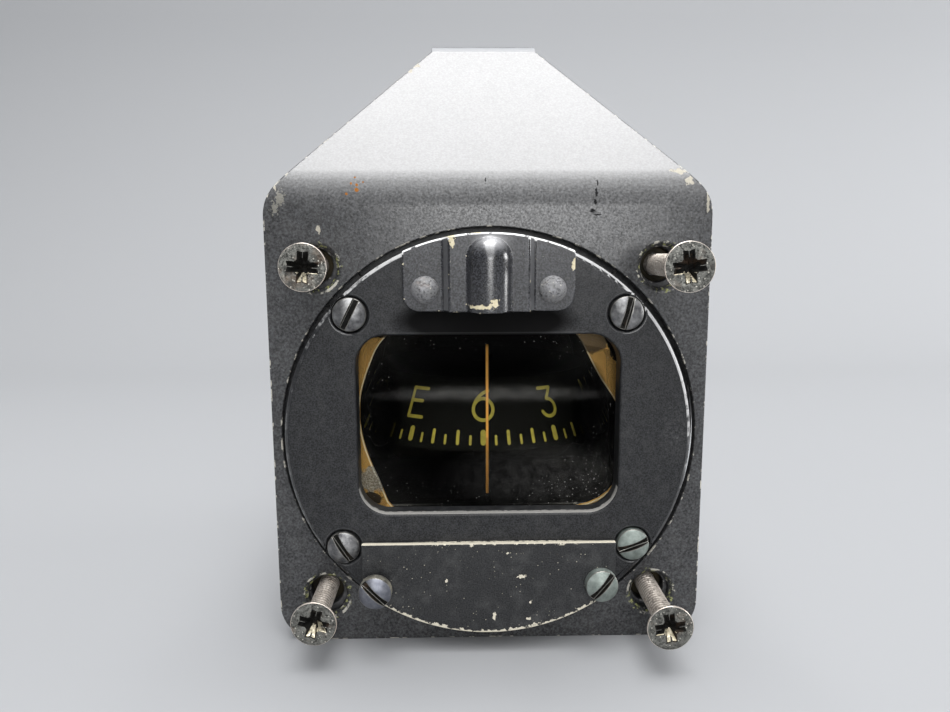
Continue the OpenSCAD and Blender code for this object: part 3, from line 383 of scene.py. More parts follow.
def from_screw_axis(place):
    """Distance from the nearest panel screw's axis, in mm."""
    x, _, z = place.in_mm()
    across = x.math("ABSOLUTE", x - dial[0], 0) - screw_spot
    up = z.math("ABSOLUTE", z - dial[1], 0) - screw_spot
    return across.math("SQRT", across * across + up * up, 0)


def pitted_steel(name, clean, dirty, grit_share, rough, depth=0.06, groove=None):
    """Old steel with cloudy dirt, pits and pale grit, brown in the grooves of a thread."""
    finish, place = new_finish(name)
    cloud, fine = noise(place, 1.1, 5), noise(place, 0.4, 4)
    dull = ramp(cloud + 0.5 * fine, 0.6, 0.92)
    base = tint(dull, tone(clean), tone(dirty))
    pit = ramp(fine, 0.47, 0.38)
    base = tint(pit * 0.75, base, tone(dirty, 0.3))
    grit = specks(place, 0.6, 0.16, grit_share)
    base = tint(grit * 0.85, base, grit_pale)
    base = tint(ramp(noise(place, 3.1, 3), 0.55, 0.7) * 0.25, base, stain_brown)
    if groove:
        low, high = groove
        base = tint(ramp(from_screw_axis(place), high, low), base, groove_brown)
    surface(place, Base_Color=base, Metallic=0.85 - 0.5 * dull, Roughness=rough + 0.25 * dull,
            Normal=relief(place, fine + 0.7 * cloud + 0.4 * grit - 0.6 * pit, depth))
    return finish


thread_steel = pitted_steel("dulled_thread", (0.50, 0.46, 0.41), (0.35, 0.31, 0.27), grit_share=0.05,
                            rough=0.34, depth=0.03, groove=thread_groove)
head_steel = pitted_steel("pitted_head", (0.23, 0.23, 0.21), (0.05, 0.05, 0.045), grit_share=0.7,
                          rough=0.4, depth=0.11)
recess_highlight_steel = pitted_steel("rubbed_and_highlit_recess", (0.66, 0.61, 0.48), (0.42, 0.37, 0.25), grit_share=0.0,
                            rough=0.34)
recess_grime_and_shade = pitted_steel("recess_grime_and_shade", (0.012, 0.011, 0.009), (0.008, 0.008, 0.007), grit_share=0.0,
                            rough=0.7)
bright_edge = metal("rubbed_steel", (0.72, 0.66, 0.60), 0.3, (0.46, 0.38, 0.31))
screws = broken_edges("panel_screws", "panel_screw_set", 0.1,
                      [thread_steel, head_steel, recess_highlight_steel, recess_grime_and_shade, bright_edge],
                      steps=1, sharp=50)
thread, head, rubbed_and_highlit, grime_and_shade, edge = range(5)
for face in screws.data.polygons:
    at = face.center / mm
    side, up = math.copysign(1, at.x), math.copysign(1, at.z - dial[1])
    across, above = at.x - dial[0] - side * screw_spot, at.z - dial[1] - up * screw_spot
    off, depth = math.hypot(across, above), at.y - screw_head_y[side, up]
    if depth < head_flat and (off > recess_r or face.area > head_area):
        face.material_index = head
    # Recess faces: the upward faces of the lower arms take the bright steel as painted highlight, the rest
    # near-black as painted shade.
    elif off < recess_r + recess_edge and depth < recess_depth:
        face.material_index = rubbed_and_highlit if face.normal.z > lit_slope and above < lit_below else grime_and_shade
    elif face.material_index != edge or depth > head_rim:
        face.material_index = thread

# Bezel: a cast ring with the window and the recess of the lens, screwed on the front of the bowl.
# Its satin blue-black paint is rubbed along the rim, with painted highlight growing towards the top and
# right, and scuffed at the right; painted shade makes it dark under the lamp cover and on the rim's outer
# side, and the lower lip of the window is bare.
bezel_black = (0.0125, 0.013, 0.0142)
rim_highlight_grey = (0.34, 0.34, 0.34, 1)
scuff_grey = (0.42, 0.42, 0.42, 1)
shade_black = (0.001, 0.001, 0.001, 1)
bare_rim_and_highlight = (0.46, 0.46, 0.46, 1)
bare_alloy = (0.36, 0.35, 0.33, 1)
window_half, window_low, window_high = 24.3, 26.4, 60.5
lip_slope, lip_front = 0.12, -0.6
bezel_r, rim_r, rim_front, rim_round = 37.2, 36.2, -0.94, -0.5
endless = 1e6


def from_dial(place, radius=bezel_r):
    """Distance from the dial's axis, in radii."""
    return away(place, (dial[0], 0, dial[1]), (radius, endless, radius))


def front_spot(place, x, z, across, up, outer=1.2, inner=0.6):
    """A soft oval on the front, at any depth: its centre and half sizes in mm, and where it fades."""
    return ramp(away(place, (x, 0, z), (across, endless, up)), outer, inner)


def bezel_marks(place, base):
    """Rubbed places on the rim, partly painted highlight, a scuff at the right and painted shade under the
    lamp cover.
    """
    rubbed_rim_and_highlight = ramp(from_dial(place), 0.978, 0.992) * ramp(noise(place, 2.6, 5), 0.52, 0.66)
    base = tint(rubbed_rim_and_highlight * 0.6, base, rim_highlight_grey)
    scuff = front_spot(place, 34.0, 42.5, 3.0, 6.0, 1.1, 0.2) * ramp(noise(place, 0.7, 6), 0.48, 0.75)
    base = tint(scuff * 0.14, base, scuff_grey)
    # Painted shade: the paint under the lamp cover is made near-black, duller and rougher.
    shade = front_spot(place, -1.0, 62.6, 16.5, 4.0, 1.1, 0.8)
    return tint(shade, base, shade_black), shade


def rim_wear_and_highlight(place):
    """Bare metal on the rim, partly painted highlight, growing towards the top and right."""
    x, _, z = place.in_mm()
    worn = ramp(noise(place, 1.5, 5) + ramp(z + 0.35 * x, 42, 70) * 0.4, 0.66, 0.8)
    return worn * ramp(from_dial(place), 0.976, 0.981)


def lip_wear(place):
    """Bare metal along the front of the window's lip."""
    _, y, _ = place.in_mm()
    return ramp(y + 1.6 * noise(place, 0.9, 6), -2.6, -2.9)


bezel_paint = painted("bezel_paint", bezel_black, rough=0.5, grain=0.26, depth=0.01, dust=0.08,
                      extra=bezel_marks, shine=0.24, coat=0.1)
bezel_worn_highlit = painted("bezel_worn_highlit_edge", bezel_black, rough=0.36, grain=0.26, depth=0.01, dust=0.2,
                     chips=rim_wear_and_highlight, bare=bare_rim_and_highlight, extra=bezel_marks, shine=0.5, coat=0.4)
bare_lip = painted("bare_window_lip", bezel_black, rough=0.5, grain=0.26, depth=0.02, dust=0.2,
                   chips=lip_wear, bare=bare_alloy, shine=0.5, coat=0.3)
bezel = broken_edges("bezel", "bezel_ring", 0.46, [bezel_paint, bare_lip, inner_black, bezel_worn_highlit],
                     steps=3, sharp=40)
paint, lip, gap_shade, worn_highlit_edge = range(4)
for face in bezel.data.polygons:
    at = face.center / mm
    if abs(at.x - dial[0]) < window_half and window_low < at.z < window_high and at.y < 0:
        face.material_index = lip if face.normal.z > lip_slope and face.normal.y > lip_front else paint
    # The outer side of the rim takes the dead black as painted shade in the gap; its rounded front takes the
    # worn finish with painted highlight.
    elif off_axis(at) > rim_r and at.y < 0 and face.normal.y > rim_front:
        face.material_index = worn_highlit_edge if face.normal.y < rim_round else gap_shade

# Gasket, lens and lubber line: the cork gasket has crept unevenly into the window behind the glass.
# The lens is clear and dusty towards its edges, with a smear that is also a painted sheen,
# and soft black areas of painted shade in it keep the inside dim.
# The lubber line is an orange strip on its back.
cork_brown = (0.36, 0.17, 0.05, 1)
shaded_end_cork = (0.10, 0.075, 0.05, 1)
shaded_cork = (0.012, 0.011, 0.010, 1)
stain_dark, stain_pale = (0.16, 0.14, 0.12, 1), (0.80, 0.77, 0.70, 1)
cork_shaded_end = [((19.6, 3, 58.0), (3.2, 9, 2.3))]
cork_stain = [((-22.8, 3, 31.0), (2.8, 9, 2.5))]
cork_shade = [((25.2, 3, 57.6), (2.5, 9, 4.4)), ((-22.8, 3, 27.2), (2.2, 9, 1.4)),
              ((-21.0, 3, 60.2), (3.6, 9, 1.5))]


def cork_finish(name, colour):
    """Crumbly pressed cork, stained at one end, with painted shade at the other end and in the corners."""
    finish, place = new_finish(name)
    crumb, cloud = noise(place, 0.35, 4), noise(place, 2.8, 4)
    base = tint(ramp(crumb, 0.35, 0.65), tone(colour, 0.9), tone(colour, 1.06))
    base = tint(ramp(cloud, 0.5, 0.75) * 0.25, base, cork_brown)
    # Painted shade: the upper right end is darkened, and below, three corners are blackened.
    base = tint(patches(place, cork_shaded_end, 1.2, 1.2) * 0.9, base, shaded_end_cork)
    stain = tint(ramp(crumb, 0.4, 0.6), stain_dark, stain_pale)
    base = tint(patches(place, cork_stain, 1.6, 1.0) * 0.9, base, stain)
    base = tint(patches(place, cork_shade, 1.0, 1.4) * 0.95, base, shaded_cork)
    surface(place, Base_Color=base, Roughness=0.85, Normal=relief(place, crumb, 0.06))
    return finish


cork = cork_finish("pressed_cork", (0.96, 0.55, 0.16))
cork_edge = cork_finish("cut_cork_edge", (0.90, 0.76, 0.50))
broken_edges("lens_gasket", "cork_gasket", 0.2, [cork, cork_edge], steps=1)

lens_shades = [(-19.9, 45.5, 3.1, 8.5), (19.3, 44.5, 3.1, 8.5), (-1.0, 58.0, 15.5, 7.0),
               (-1.0, 31.0, 18.0, 5.6)]
glass_tint = (0.93, 0.93, 0.90, 1)
glass_dust_and_sheen = (0.62, 0.61, 0.58, 1)
strip_half_w = 0.45


def lens_finish():
    """Clear glass with a film, haze and dots of dust, a smear that is also painted sheen, and black areas of
    painted shade beside the lubber line.
    """
    finish, place = new_finish("dusty_glass")
    cloud, fine = noise(place, 1.6, 6), noise(place, 0.5, 3)
    edge = away(place, (-0.3, 0, 43.2), (24.5, endless, 16.4))
    film = ramp(edge + 0.6 * cloud, 1.05, 1.7) * 0.006
    # A band of dust that is also a painted sheen across the card behind the glass.
    smear_and_sheen = front_spot(place, 0.5, 48.3, 24.5, 1.6, 1.1, 0.4) * ramp(cloud, 0.2, 0.6) * 0.03
    haze = front_spot(place, 11.0, 32.0, 17, 6.0, 1.3, 0.4) * ramp(cloud + 0.3 * fine, 0.35, 0.9) * 0.022
    corner = ramp(away(place, (17.0, 0, 31.0), (9.0, endless, 8.0)) + noise(place, 4.0, 3), 1.5, 0.9)
    dots = specks(place, 0.6, 0.09, 0.3) * ramp(edge + 0.8 * (noise(place, 5.0, 3) - 0.5), 0.8, 1.1)
    dots = dots | specks(place, 0.5, 0.09, 0.35) * corner
    dirt_and_sheen = film | smear_and_sheen | haze | dots * 0.6
    # Painted shade: black is mixed into the glass in soft areas at the sides, top and bottom, but not over
    # the lubber line.
    shade = front_spot(place, *lens_shades[0])
    for spot in lens_shades[1:]:
        shade = shade | front_spot(place, *spot)
    low, high = nodes["lubber_line"].bound_box[0], nodes["lubber_line"].bound_box[6]
    middle = [(a + b) / (2 * mm) for a, b in zip(low, high)]
    strip_half_h = (high[2] - low[2]) / (2 * mm)
    beside = away(place, middle, (strip_half_w, endless, endless))
    beyond = away(place, middle, (endless, endless, strip_half_h))
    shade = shade * ramp(beside | beyond, 0.98, 1.06)
    dust = tint(ramp(dirt_and_sheen, 0.0, 0.03), (0, 0, 0, 1), glass_dust_and_sheen)
    skin = dirt_and_sheen.node("BsdfPrincipled", None, {"Base Color": dust, "Roughness": 0.1})
    clear = dirt_and_sheen.node("BsdfTransparent", None, {"Color": glass_tint})
    black = dirt_and_sheen.node("BsdfPrincipled", None, {"Base Color": (0, 0, 0, 1), "Specular IOR Level": 0.0})
    shaded = dirt_and_sheen.node("MixShader", None, {"Fac": shade * 0.85, 1: clear, 2: black})
    mixed = dirt_and_sheen.node("MixShader", None, {"Fac": dirt_and_sheen + 0.03, 1: shaded, 2: skin})
    place.node("OutputMaterial", None, {"Surface": mixed})
    return finish


dress(lens_finish(), "lens")


def ink_finish(name, colour, faded):
    """Matt paint, faded in patches."""
    finish, place = new_finish(name)
    base = tint(ramp(noise(place, 0.8, 4), 0.35, 0.7), tone(colour), tone(faded))
    surface(place, Base_Color=base, Roughness=0.7, Normal=relief(place, noise(place, 0.3), 0.01))
    return finish


lubber_orange = ink_finish("lubber_orange", (0.80, 0.36, 0.05), (0.66, 0.33, 0.07))
broken_edges("lubber_line", "lubber_strip", 0.06, [lubber_orange])

# Bezel screws and cover screws: slotted steel screws with domed heads, once blackened.
# Screwdrivers have rubbed the edges of their slots, and those at the lower right have gone greenish.
# The left cover screw is bluish, stands out further than the right one, and has a pale side.
black_dark, black_pale = (0.09, 0.09, 0.094, 1), (0.30, 0.30, 0.30, 1)
green_dark, green_pale = (0.05, 0.07, 0.06, 1), (0.34, 0.40, 0.36, 1)
blue_dark, blue_pale = (0.08, 0.09, 0.115, 1), (0.27, 0.28, 0.33, 1)
slot_top, slot_floor, slot_reach, upright = 0.2, 1.0, 2.2, 0.3
bezel_screw_y, cover_screw_y = (-6.4, -6.4), (-10.8, -9.1)
bezel_screw_spots = [(-24.95, 63.88), (24.35, 63.88), (-27.21, 20.62), (26.61, 20.62)]
cover_screw_spots = [(-21.07, 13.73), (20.47, 13.73)]


def face_screw_finish():
    """Blackened steel with cloudy wear, greenish at the lower right and bluish on one screw."""
    finish, place = new_finish("blackened_screw_steel")
    cloud, fine = noise(place, 1.3, 5), noise(place, 0.25, 4)
    green = front_spot(place, 24.0, 17.0, 9.0, 9.0, 1.1, 0.8)
    blue = front_spot(place, -21.0, 13.7, 4.0, 4.0, 1.1, 0.9)
    base = tint(ramp(cloud, 0.35, 0.7), black_dark, black_pale)
    base = tint(green * 0.75, base, tint(cloud, green_dark, green_pale))
    base = tint(blue * 0.7, base, tint(cloud, blue_dark, blue_pale))
    surface(place, Base_Color=base, Metallic=0.9 - 0.5 * green, Roughness=0.33 + 0.25 * cloud,
            Normal=relief(place, cloud + 0.4 * fine, 0.02))
    return finish


dark_steel = face_screw_finish()
pale_side = metal("pale_screw_side", (0.50, 0.48, 0.42), 0.4, (0.34, 0.32, 0.24))
screw_edge = metal("rubbed_screw_edge", (0.26, 0.25, 0.23), 0.35, (0.12, 0.12, 0.11))
for node, name, tops, spots in (
        ("bezel_screws", "bezel_screw_set", bezel_screw_y, bezel_screw_spots),
        ("compensator_cover_screws", "cover_screw_set", cover_screw_y, cover_screw_spots)):

    def slotted_finish(at, normal):
        """1 in the slots, near-black with grime and painted shade, 2 on the side of the left cover screw, and
        0 elsewhere.
        """
        deep = at.y - tops[at.x > 0]
        off = min(math.hypot(at.x - x, at.z - z) for x, z in spots)
        if off < slot_reach and deep > slot_top and (abs(normal.y) < upright or deep > slot_floor):
            return 1
        return 2 if abs(normal.y) < upright and tops == cover_screw_y and at.x < 0 else 0

    screws = broken_edges(node, name, 0.12, [dark_steel, recess_grime_and_shade, pale_side, screw_edge],
                          sharp=40)
    sort_faces(screws, slotted_finish)

# Lamp cover: a pressed cover over the dial lamp, with a half tube between two stepped flanges.
# It has a glossier black paint, chipped at its ends, with painted highlight on the tube's crown, along the
# rim and on the steps.
# Two dome-headed rivets hold it.
lamp_black = (0.019, 0.0195, 0.022)
lamp_dust = (0.26, 0.25, 0.21, 1)
rim_highlight_white = (0.80, 0.80, 0.79, 1)
crown_highlight_grey = (0.40, 0.40, 0.41, 1)
primer_dark, primer_pale = (0.42, 0.34, 0.14, 1), (0.78, 0.73, 0.60, 1)
lamp_chips = [((-6.6, -8, 76.6), (0.55, 3, 1.2)), ((-6.9, -8, 77.6), (0.75, 3, 0.5)),
              ((-1.9, -11.5, 65.6), (2.0, 3, 0.35)), ((0.4, -11.5, 66.2), (0.8, 3, 0.85)),
              ((14.5, -7, 72.6), (0.45, 3, 0.95)), ((14.3, -7, 65.0), (0.5, 3, 0.4)),
              ((-2.6, -9, 78.1), (0.9, 3, 0.25)), ((-11.2, -7, 77.2), (1.0, 3, 0.25))]
crown_highlight_centre, crown_highlight_reach = (0.2, -10.0, 76.6), (4.2, 4.0, 2.4)
flat_front, tube_y, step_slope, step_front, step_from, step_to = -0.97, -11, 0.4, -0.2, 7.0, 9.9


def lamp_cover_chips(place):
    return patches(place, lamp_chips, 2.6, 0.45)


def lamp_edge_chips(place):
    return ramp(noise(place, 1.2, 6), 0.64, 0.68) | lamp_cover_chips(place)


def lamp_finish(name, chips, rough, coat, rim_highlight_line=False):
    """Glossy black paint with dust and chips, a painted highlight on the crown and, on the broken edges, a
    white rim line of painted highlight.
    """
    finish, place = new_finish(name)
    broad, fine = noise(place, 6, 4), noise(place, 0.3, 3)
    chip = chips(place)
    base = tint(ramp(fine, 0.38, 0.66), tone(lamp_black, 0.2), tone(lamp_black, 2.6))
    dust = specks(place, 0.7, 0.08, 0.2) * 0.8 | ramp(noise(place, 1.2, 6), 0.6, 0.85) * 0.25
    base = tint(dust, base, lamp_dust)
    if rim_highlight_line:
        # Painted highlight: a white line along the rim of the broken edges.
        rim_highlight = ramp(from_dial(place), 0.982, 0.988) * ramp(noise(place, 1.4, 5), 0.36, 0.46)
        base = tint(rim_highlight, base, rim_highlight_white)
    # Painted highlight: the crown of the tube is made pale grey.
    ragged = 0.4 * (noise(place, 2.0, 4) - 0.5)
    crown_highlight = ramp(away(place, crown_highlight_centre, crown_highlight_reach) + ragged, 1.1, 0.1)
    base = tint(crown_highlight * crown_highlight, base, crown_highlight_grey)
    base = tint(chip, base, tint(fine, primer_dark, primer_pale))
    surface(place, Base_Color=base, Roughness=rough + 0.14 * (broad - 0.5) + 0.35 * chip,
            Normal=relief(place, fine + 2 * broad - 3 * chip, 0.014), Coat_Weight=coat - coat * (chip | dust),
            Coat_Roughness=0.18)
    return finish


def moulded(name, colour, rough, grain, depth):
    """A plain finely grained material with a little dust."""
    finish, place = new_finish(name)
    fine = noise(place, grain, 4)
    base = tint(ramp(fine, 0.3, 0.7), tone(colour, 0.75), tone(colour, 1.25))
    base = tint(ramp(noise(place, 2.0, 5), 0.6, 0.85) * 0.3, base, dust_grey)
    surface(place, Base_Color=base, Roughness=rough + 0.2 * (fine - 0.5), Normal=relief(place, fine, depth))
    return finish


def lamp_cover_finish(at, normal):
    """1 on the flats, 2 on the steps, whose paler paint is painted highlight, and 0 on the tube and
    elsewhere.
    """
    if normal.y < flat_front and at.y > tube_y:
        return 1
    on_step = step_from < abs(at.x - dial[0]) < step_to
    return 2 if on_step and abs(normal.x) > step_slope and normal.y < step_front else 0


lamp_paint = lamp_finish("lamp_cover_paint", lamp_cover_chips, rough=0.26, coat=0.8)
lamp_flat = lamp_finish("lamp_cover_flat", lamp_cover_chips, rough=0.5, coat=0.12)
lamp_worn_highlit = lamp_finish("lamp_cover_worn_highlit_edge", lamp_edge_chips, rough=0.26, coat=0.8, rim_highlight_line=True)
lamp_step_highlight = moulded("lamp_cover_step_highlight", (0.085, 0.086, 0.09), rough=0.4, grain=0.3, depth=0.014)
lamp_cover = broken_edges("lamp_cover", "lamp_cover_pressing", 0.3,
                          [lamp_paint, lamp_flat, lamp_step_highlight, lamp_worn_highlit], steps=3, sharp=36)
sort_faces(lamp_cover, lamp_cover_finish)
rivet_steel = pitted_steel("dusty_rivet", (0.30, 0.30, 0.31), (0.20, 0.20, 0.20), grit_share=0.3, rough=0.6,
                           depth=0.08)
broken_edges("lamp_cover_rivets", "lamp_rivets", 0.1, [rivet_steel], sharp=60)

# Lamp: a small glass bulb on a brass base, in a sleeve of fibre under the cover.
# Its lead leaves the bowl through a rubber grommet.
bulb_glass, place = new_finish("bulb_glass")
surface(place, Base_Color=(0.95, 0.94, 0.90, 1), Roughness=0.05 + 0.1 * noise(place, 1.0),
        Transmission_Weight=0.9)
dress(bulb_glass, "lamp_bulb")
brass = metal("turned_brass", (0.62, 0.45, 0.20), 0.3, (0.30, 0.20, 0.09))
dress(brass, "lamp_base")
dress(moulded("brown_fibre", (0.10, 0.06, 0.03), rough=0.7, grain=0.4, depth=0.03), "lamp_socket")
rubber = moulded("black_rubber", (0.012, 0.012, 0.012), rough=0.75, grain=0.3, depth=0.02)
broken_edges("lead_grommet", "lead_grommet_rubber", 0.35, [rubber], steps=3)

# Compensator: a frame of darkened brass in the bowl carries two spindles with magnets, turned from the front.
# A plate with a straight top covers their slots: black paint, worn to bare metal along its edges.
cover_black = (0.0135, 0.014, 0.015)
cover_bare = (0.70, 0.65, 0.53, 1)
cover_chips = [((0.7, -6.5, 7.4), (0.28, 3, 0.75)), ((7.1, -6.5, 6.8), (0.5, 3, 0.3)),
               ((5.7, -6.5, 15.2), (0.8, 3, 0.35)), ((3.1, -6.5, 19.7), (0.25, 3, 0.25)),
               ((-8.2, -6.5, 14.5), (0.25, 3, 0.3)), ((7.4, -6.5, 10.1), (0.25, 3, 0.25))]
cover_top, cover_r = 21.6, 36.8


def cover_wear(place):
    """Chips and flecks, with wear along the straight top and nibbled wear along the round edge."""
    _, y, z = place.in_mm()
    nibbled = (noise(place, 0.9, 7) - 0.5) * 2.6
    middle = front_spot(place, 2.0, cover_top, 17.0, 99.0, 1.0, 0.6)
    line = ramp(z, cover_top - 0.12, cover_top - 0.05) * ramp(y + 0.5 * noise(place, 3.0, 5), -5.2, -5.5)
    top = line | ramp(z + nibbled, cover_top - 0.1, cover_top) * middle
    arc = ramp(from_dial(place, cover_r) + nibbled * (1 / cover_r), 0.987, 0.99)
    flecks = specks(place, 0.8, 0.12, 0.45) * ramp(noise(place, 4.0, 3), 0.36, 0.56)
    return patches(place, cover_chips, 3.0, 0.4) | top | arc | flecks * 0.7


cover_paint = painted("cover_paint", cover_black, rough=0.42, grain=0.26, depth=0.012, dust=0.14,
                      chips=cover_wear, bare=cover_bare, shine=0.36)
broken_edges("compensator_cover", "compensator_cover_plate", 0.2, [cover_paint])
dress(dark_brass, "compensator_frame")
dress(brass, "east_west_adjuster", "north_south_adjuster", "north_south_cross_spindle")
dress(metal("magnet_steel", (0.32, 0.33, 0.35), 0.4, (0.14, 0.13, 0.12)),
      "east_west_magnet", "north_south_magnet")
spring_steel = metal("spring_steel", (0.50, 0.50, 0.49), 0.35, (0.25, 0.24, 0.22))
dress(spring_steel, "adjuster_washers")

# Card: a thin black cone with yellow marks, on a float that turns on a jewelled pivot.
# The marks are thick paint: a bar every 30 degrees, thin ones between, and letters or tens of degrees.
card_black, place = new_finish("card_black")
surface(place, Base_Color=tint(noise(place, 0.5), (0.003, 0.003, 0.003, 1), (0.008, 0.008, 0.007, 1)),
        Roughness=0.6 + 0.1 * noise(place, 1.5), Normal=relief(place, noise(place, 0.4), 0.01),
        Specular_IOR_Level=0.05)
dress(card_black, "card", "card_hub", "card_magnets")
dress(metal("blackened_alloy", (0.03, 0.03, 0.03), 0.5, (0.015, 0.015, 0.015)), "card_float", "float_base")
dress(dark_brass, "jewel_post", "jewel_carrier")
dress(spring_steel, "pivot")
ruby, place = new_finish("ruby")
surface(place, Base_Color=(0.5, 0.03, 0.06, 1), Roughness=0.08 + 0.08 * noise(place, 0.6),
        Transmission_Weight=0.5)
dress(ruby, "jewel")
card_axis = (-0.3, 36.5)
card_r, card_z, card_slope = 30.5, 35.5, math.radians(25)
front_heading, front_turn = 60, 1.2
paint_t = 0.03


def bow(x, y, rx, ry, start, end, count=14):
    """Points on an arc of an ellipse, between two angles in degrees."""
    turns = [math.radians(start + (end - start) * i / count) for i in range(count + 1)]
    return [(x + rx * math.cos(t), y + ry * math.sin(t)) for t in turns]


strokes = {
    "N": [[(0, 0), (0, 1)], [(0, 1), (0.66, 0)], [(0.66, 0), (0.66, 1)]],
    "E": [[(0, 0), (0, 1)], [(0, 1), (0.64, 1)], [(0, 0), (0.58, 0)], [(0, 0.56), (0.48, 0.56)]],
    "S": [bow(0.28, 0.75, 0.27, 0.25, 20, 270) + bow(0.28, 0.25, 0.28, 0.25, 90, -160)[1:]],
    "W": [[(0, 1), (0.22, 0)], [(0.22, 0), (0.44, 0.85)], [(0.44, 0.85), (0.66, 0)], [(0.66, 0), (0.88, 1)]],
    "0": [bow(0.28, 0.5, 0.28, 0.5, 90, 450, 28)],
    "1": [[(0.08, 0.8), (0.26, 1)], [(0.26, 1), (0.26, 0)]],
    "2": [bow(0.3, 0.71, 0.29, 0.29, 165, -35) + [(0, 0)], [(0, 0), (0.6, 0)]],
    "3": [[(0, 1), (0.54, 1)], [(0.54, 1), (0.3, 0.62)], bow(0.3, 0.31, 0.31, 0.31, 90, -155)],
    "4": [[(0.44, 0), (0.44, 1)], [(0.44, 1), (0, 0.3)], [(0, 0.3), (0.62, 0.3)]],
    "5": [[(0.54, 1), (0.1, 1)], [(0.1, 1), (0.06, 0.56)], bow(0.28, 0.32, 0.31, 0.32, 130, -150)],
    "6": [bow(0.37, 0.37, 0.37, 0.37, 150, 510, 28), bow(0.78, 0.33, 0.78, 0.7, 165, 106)],
}
headings = {0: "N", 30: "3", 60: "6", 90: "E", 120: "12", 150: "15", 180: "S", 210: "21", 240: "24",
            270: "W", 300: "30", 330: "33"}
letter_h, letter_low, letter_gap, stroke_r = 5.5, 41.25, 0.3, 0.34
mark_r, mark_low, mark_step = 27.5, 36.6, 0.5
wide_bar, long_bar, short_bar = (2.9, 0.5), (2.8, 0.3), (1.9, 0.23)
round_end = (0.45, 0.8, 0.98)
marks = bpy.data.curves.new("card_marks", "CURVE")
marks.dimensions, marks.fill_mode = "3D", "FULL"
marks.bevel_depth, marks.bevel_resolution, marks.use_fill_caps = 1.0, 3, True


def draw(points, radius):
    """One painted stroke with round ends; the points are mm along the rim from north, and mm up."""
    spline = marks.splines.new("POLY")
    fine = [points[0]]
    for (x0, z0), (x1, z1) in zip(points, points[1:]):
        count = max(1, math.ceil(math.hypot(x1 - x0, z1 - z0) / mark_step))
        fine += [(x0 + (x1 - x0) * i / count, z0 + (z1 - z0) * i / count) for i in range(1, count + 1)]
    caps = []
    for inner, outer in ((fine[1], fine[0]), (fine[-2], fine[-1])):
        run = math.hypot(outer[0] - inner[0], outer[1] - inner[1])
        away_x, away_z = (outer[0] - inner[0]) / run, (outer[1] - inner[1]) / run
        caps.append([(outer[0] + radius * s * away_x, outer[1] + radius * s * away_z, math.sqrt(1 - s * s))
                     for s in round_end])
    path = caps[0][::-1] + [(x, z, 1.0) for x, z in fine] + caps[1]
    spline.points.add(len(path) - 1)
    for point, (x, z, share) in zip(spline.points, path):
        point.co, point.radius = (x, 0, z, 1), radius * share


for heading in range(0, 360, 5):
    along = -math.radians(heading) * mark_r
    tall, thin = short_bar if heading % 10 else long_bar if heading % 30 else wide_bar
    draw([(along, mark_low + thin), (along, mark_low + tall - thin)], thin)
    if heading % 30 == 0:
        widths = [max(x for stroke in strokes[glyph] for x, _ in stroke) for glyph in headings[heading]]
        left = -(sum(widths) + letter_gap * (len(widths) - 1)) / 2
        for glyph, width in zip(headings[heading], widths):
            for stroke in strokes[glyph]:
                line = [(along + (left + x) * letter_h, letter_low + z * letter_h) for x, z in stroke]
                draw(line, stroke_r)
            left += width + letter_gap
bpy.ops.object.select_all(action="DESELECT")
card_marks = bpy.data.objects.new("card_marks", marks)
bpy.context.scene.collection.objects.link(card_marks)
card_marks.select_set(True)
bpy.context.view_layer.objects.active = card_marks
bpy.ops.object.convert(target="MESH")
card_marks = bpy.context.view_layer.objects.active
for vertex in card_marks.data.vertices:
    along, lift, z = vertex.co
    turn = math.radians(-front_heading + front_turn) - along / mark_r
    thick = paint_t * max(-1.0, min(1.0, -lift / stroke_r))
    r = card_r - (z - card_z) * math.tan(card_slope) + thick * math.cos(card_slope)
    vertex.co = ((card_axis[0] - r * math.sin(turn)) * mm, (card_axis[1] - r * math.cos(turn)) * mm,
                 (z + thick * math.sin(card_slope)) * mm)
card_marks.data.materials.append(ink_finish("aged_yellow_paint", (0.56, 0.47, 0.06), (0.38, 0.32, 0.05)))
bpy.ops.object.mode_set(mode="EDIT")
bpy.ops.mesh.select_all(action="SELECT")
bpy.ops.mesh.normals_make_consistent(inside=False)
bpy.ops.object.mode_set(mode="OBJECT")
bpy.ops.object.shade_smooth_by_angle(angle=math.radians(50))
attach(card_marks, "card")

# Rear cover: a drawn cover over the rippled diaphragm and its gasket, held on the bowl by six small screws.
# On top of the bowl a hexagonal plug on a copper washer closes the filling hole.
dress(metal("dulled_nickel_silver", (0.06, 0.057, 0.05), 0.5, (0.02, 0.019, 0.016)), "diaphragm")
dress(moulded("oiled_cork", (0.016, 0.011, 0.007), rough=0.8, grain=0.4, depth=0.03), "rear_gasket")
broken_edges("rear_cover", "rear_cover_pressing", 0.3, [bowl_paint, bowl_worn])
plated = metal("plated_steel", (0.46, 0.46, 0.45), 0.34, (0.22, 0.20, 0.17))
broken_edges("rear_cover_screws", "rear_screw_set", 0.1, [plated, bright_edge], sharp=40)
broken_edges("filler_plug", "filler_plug_hex", 0.25, [plated, bright_edge])
dress(metal("soft_copper", (0.62, 0.30, 0.17), 0.4, (0.28, 0.13, 0.07)), "filler_washer")

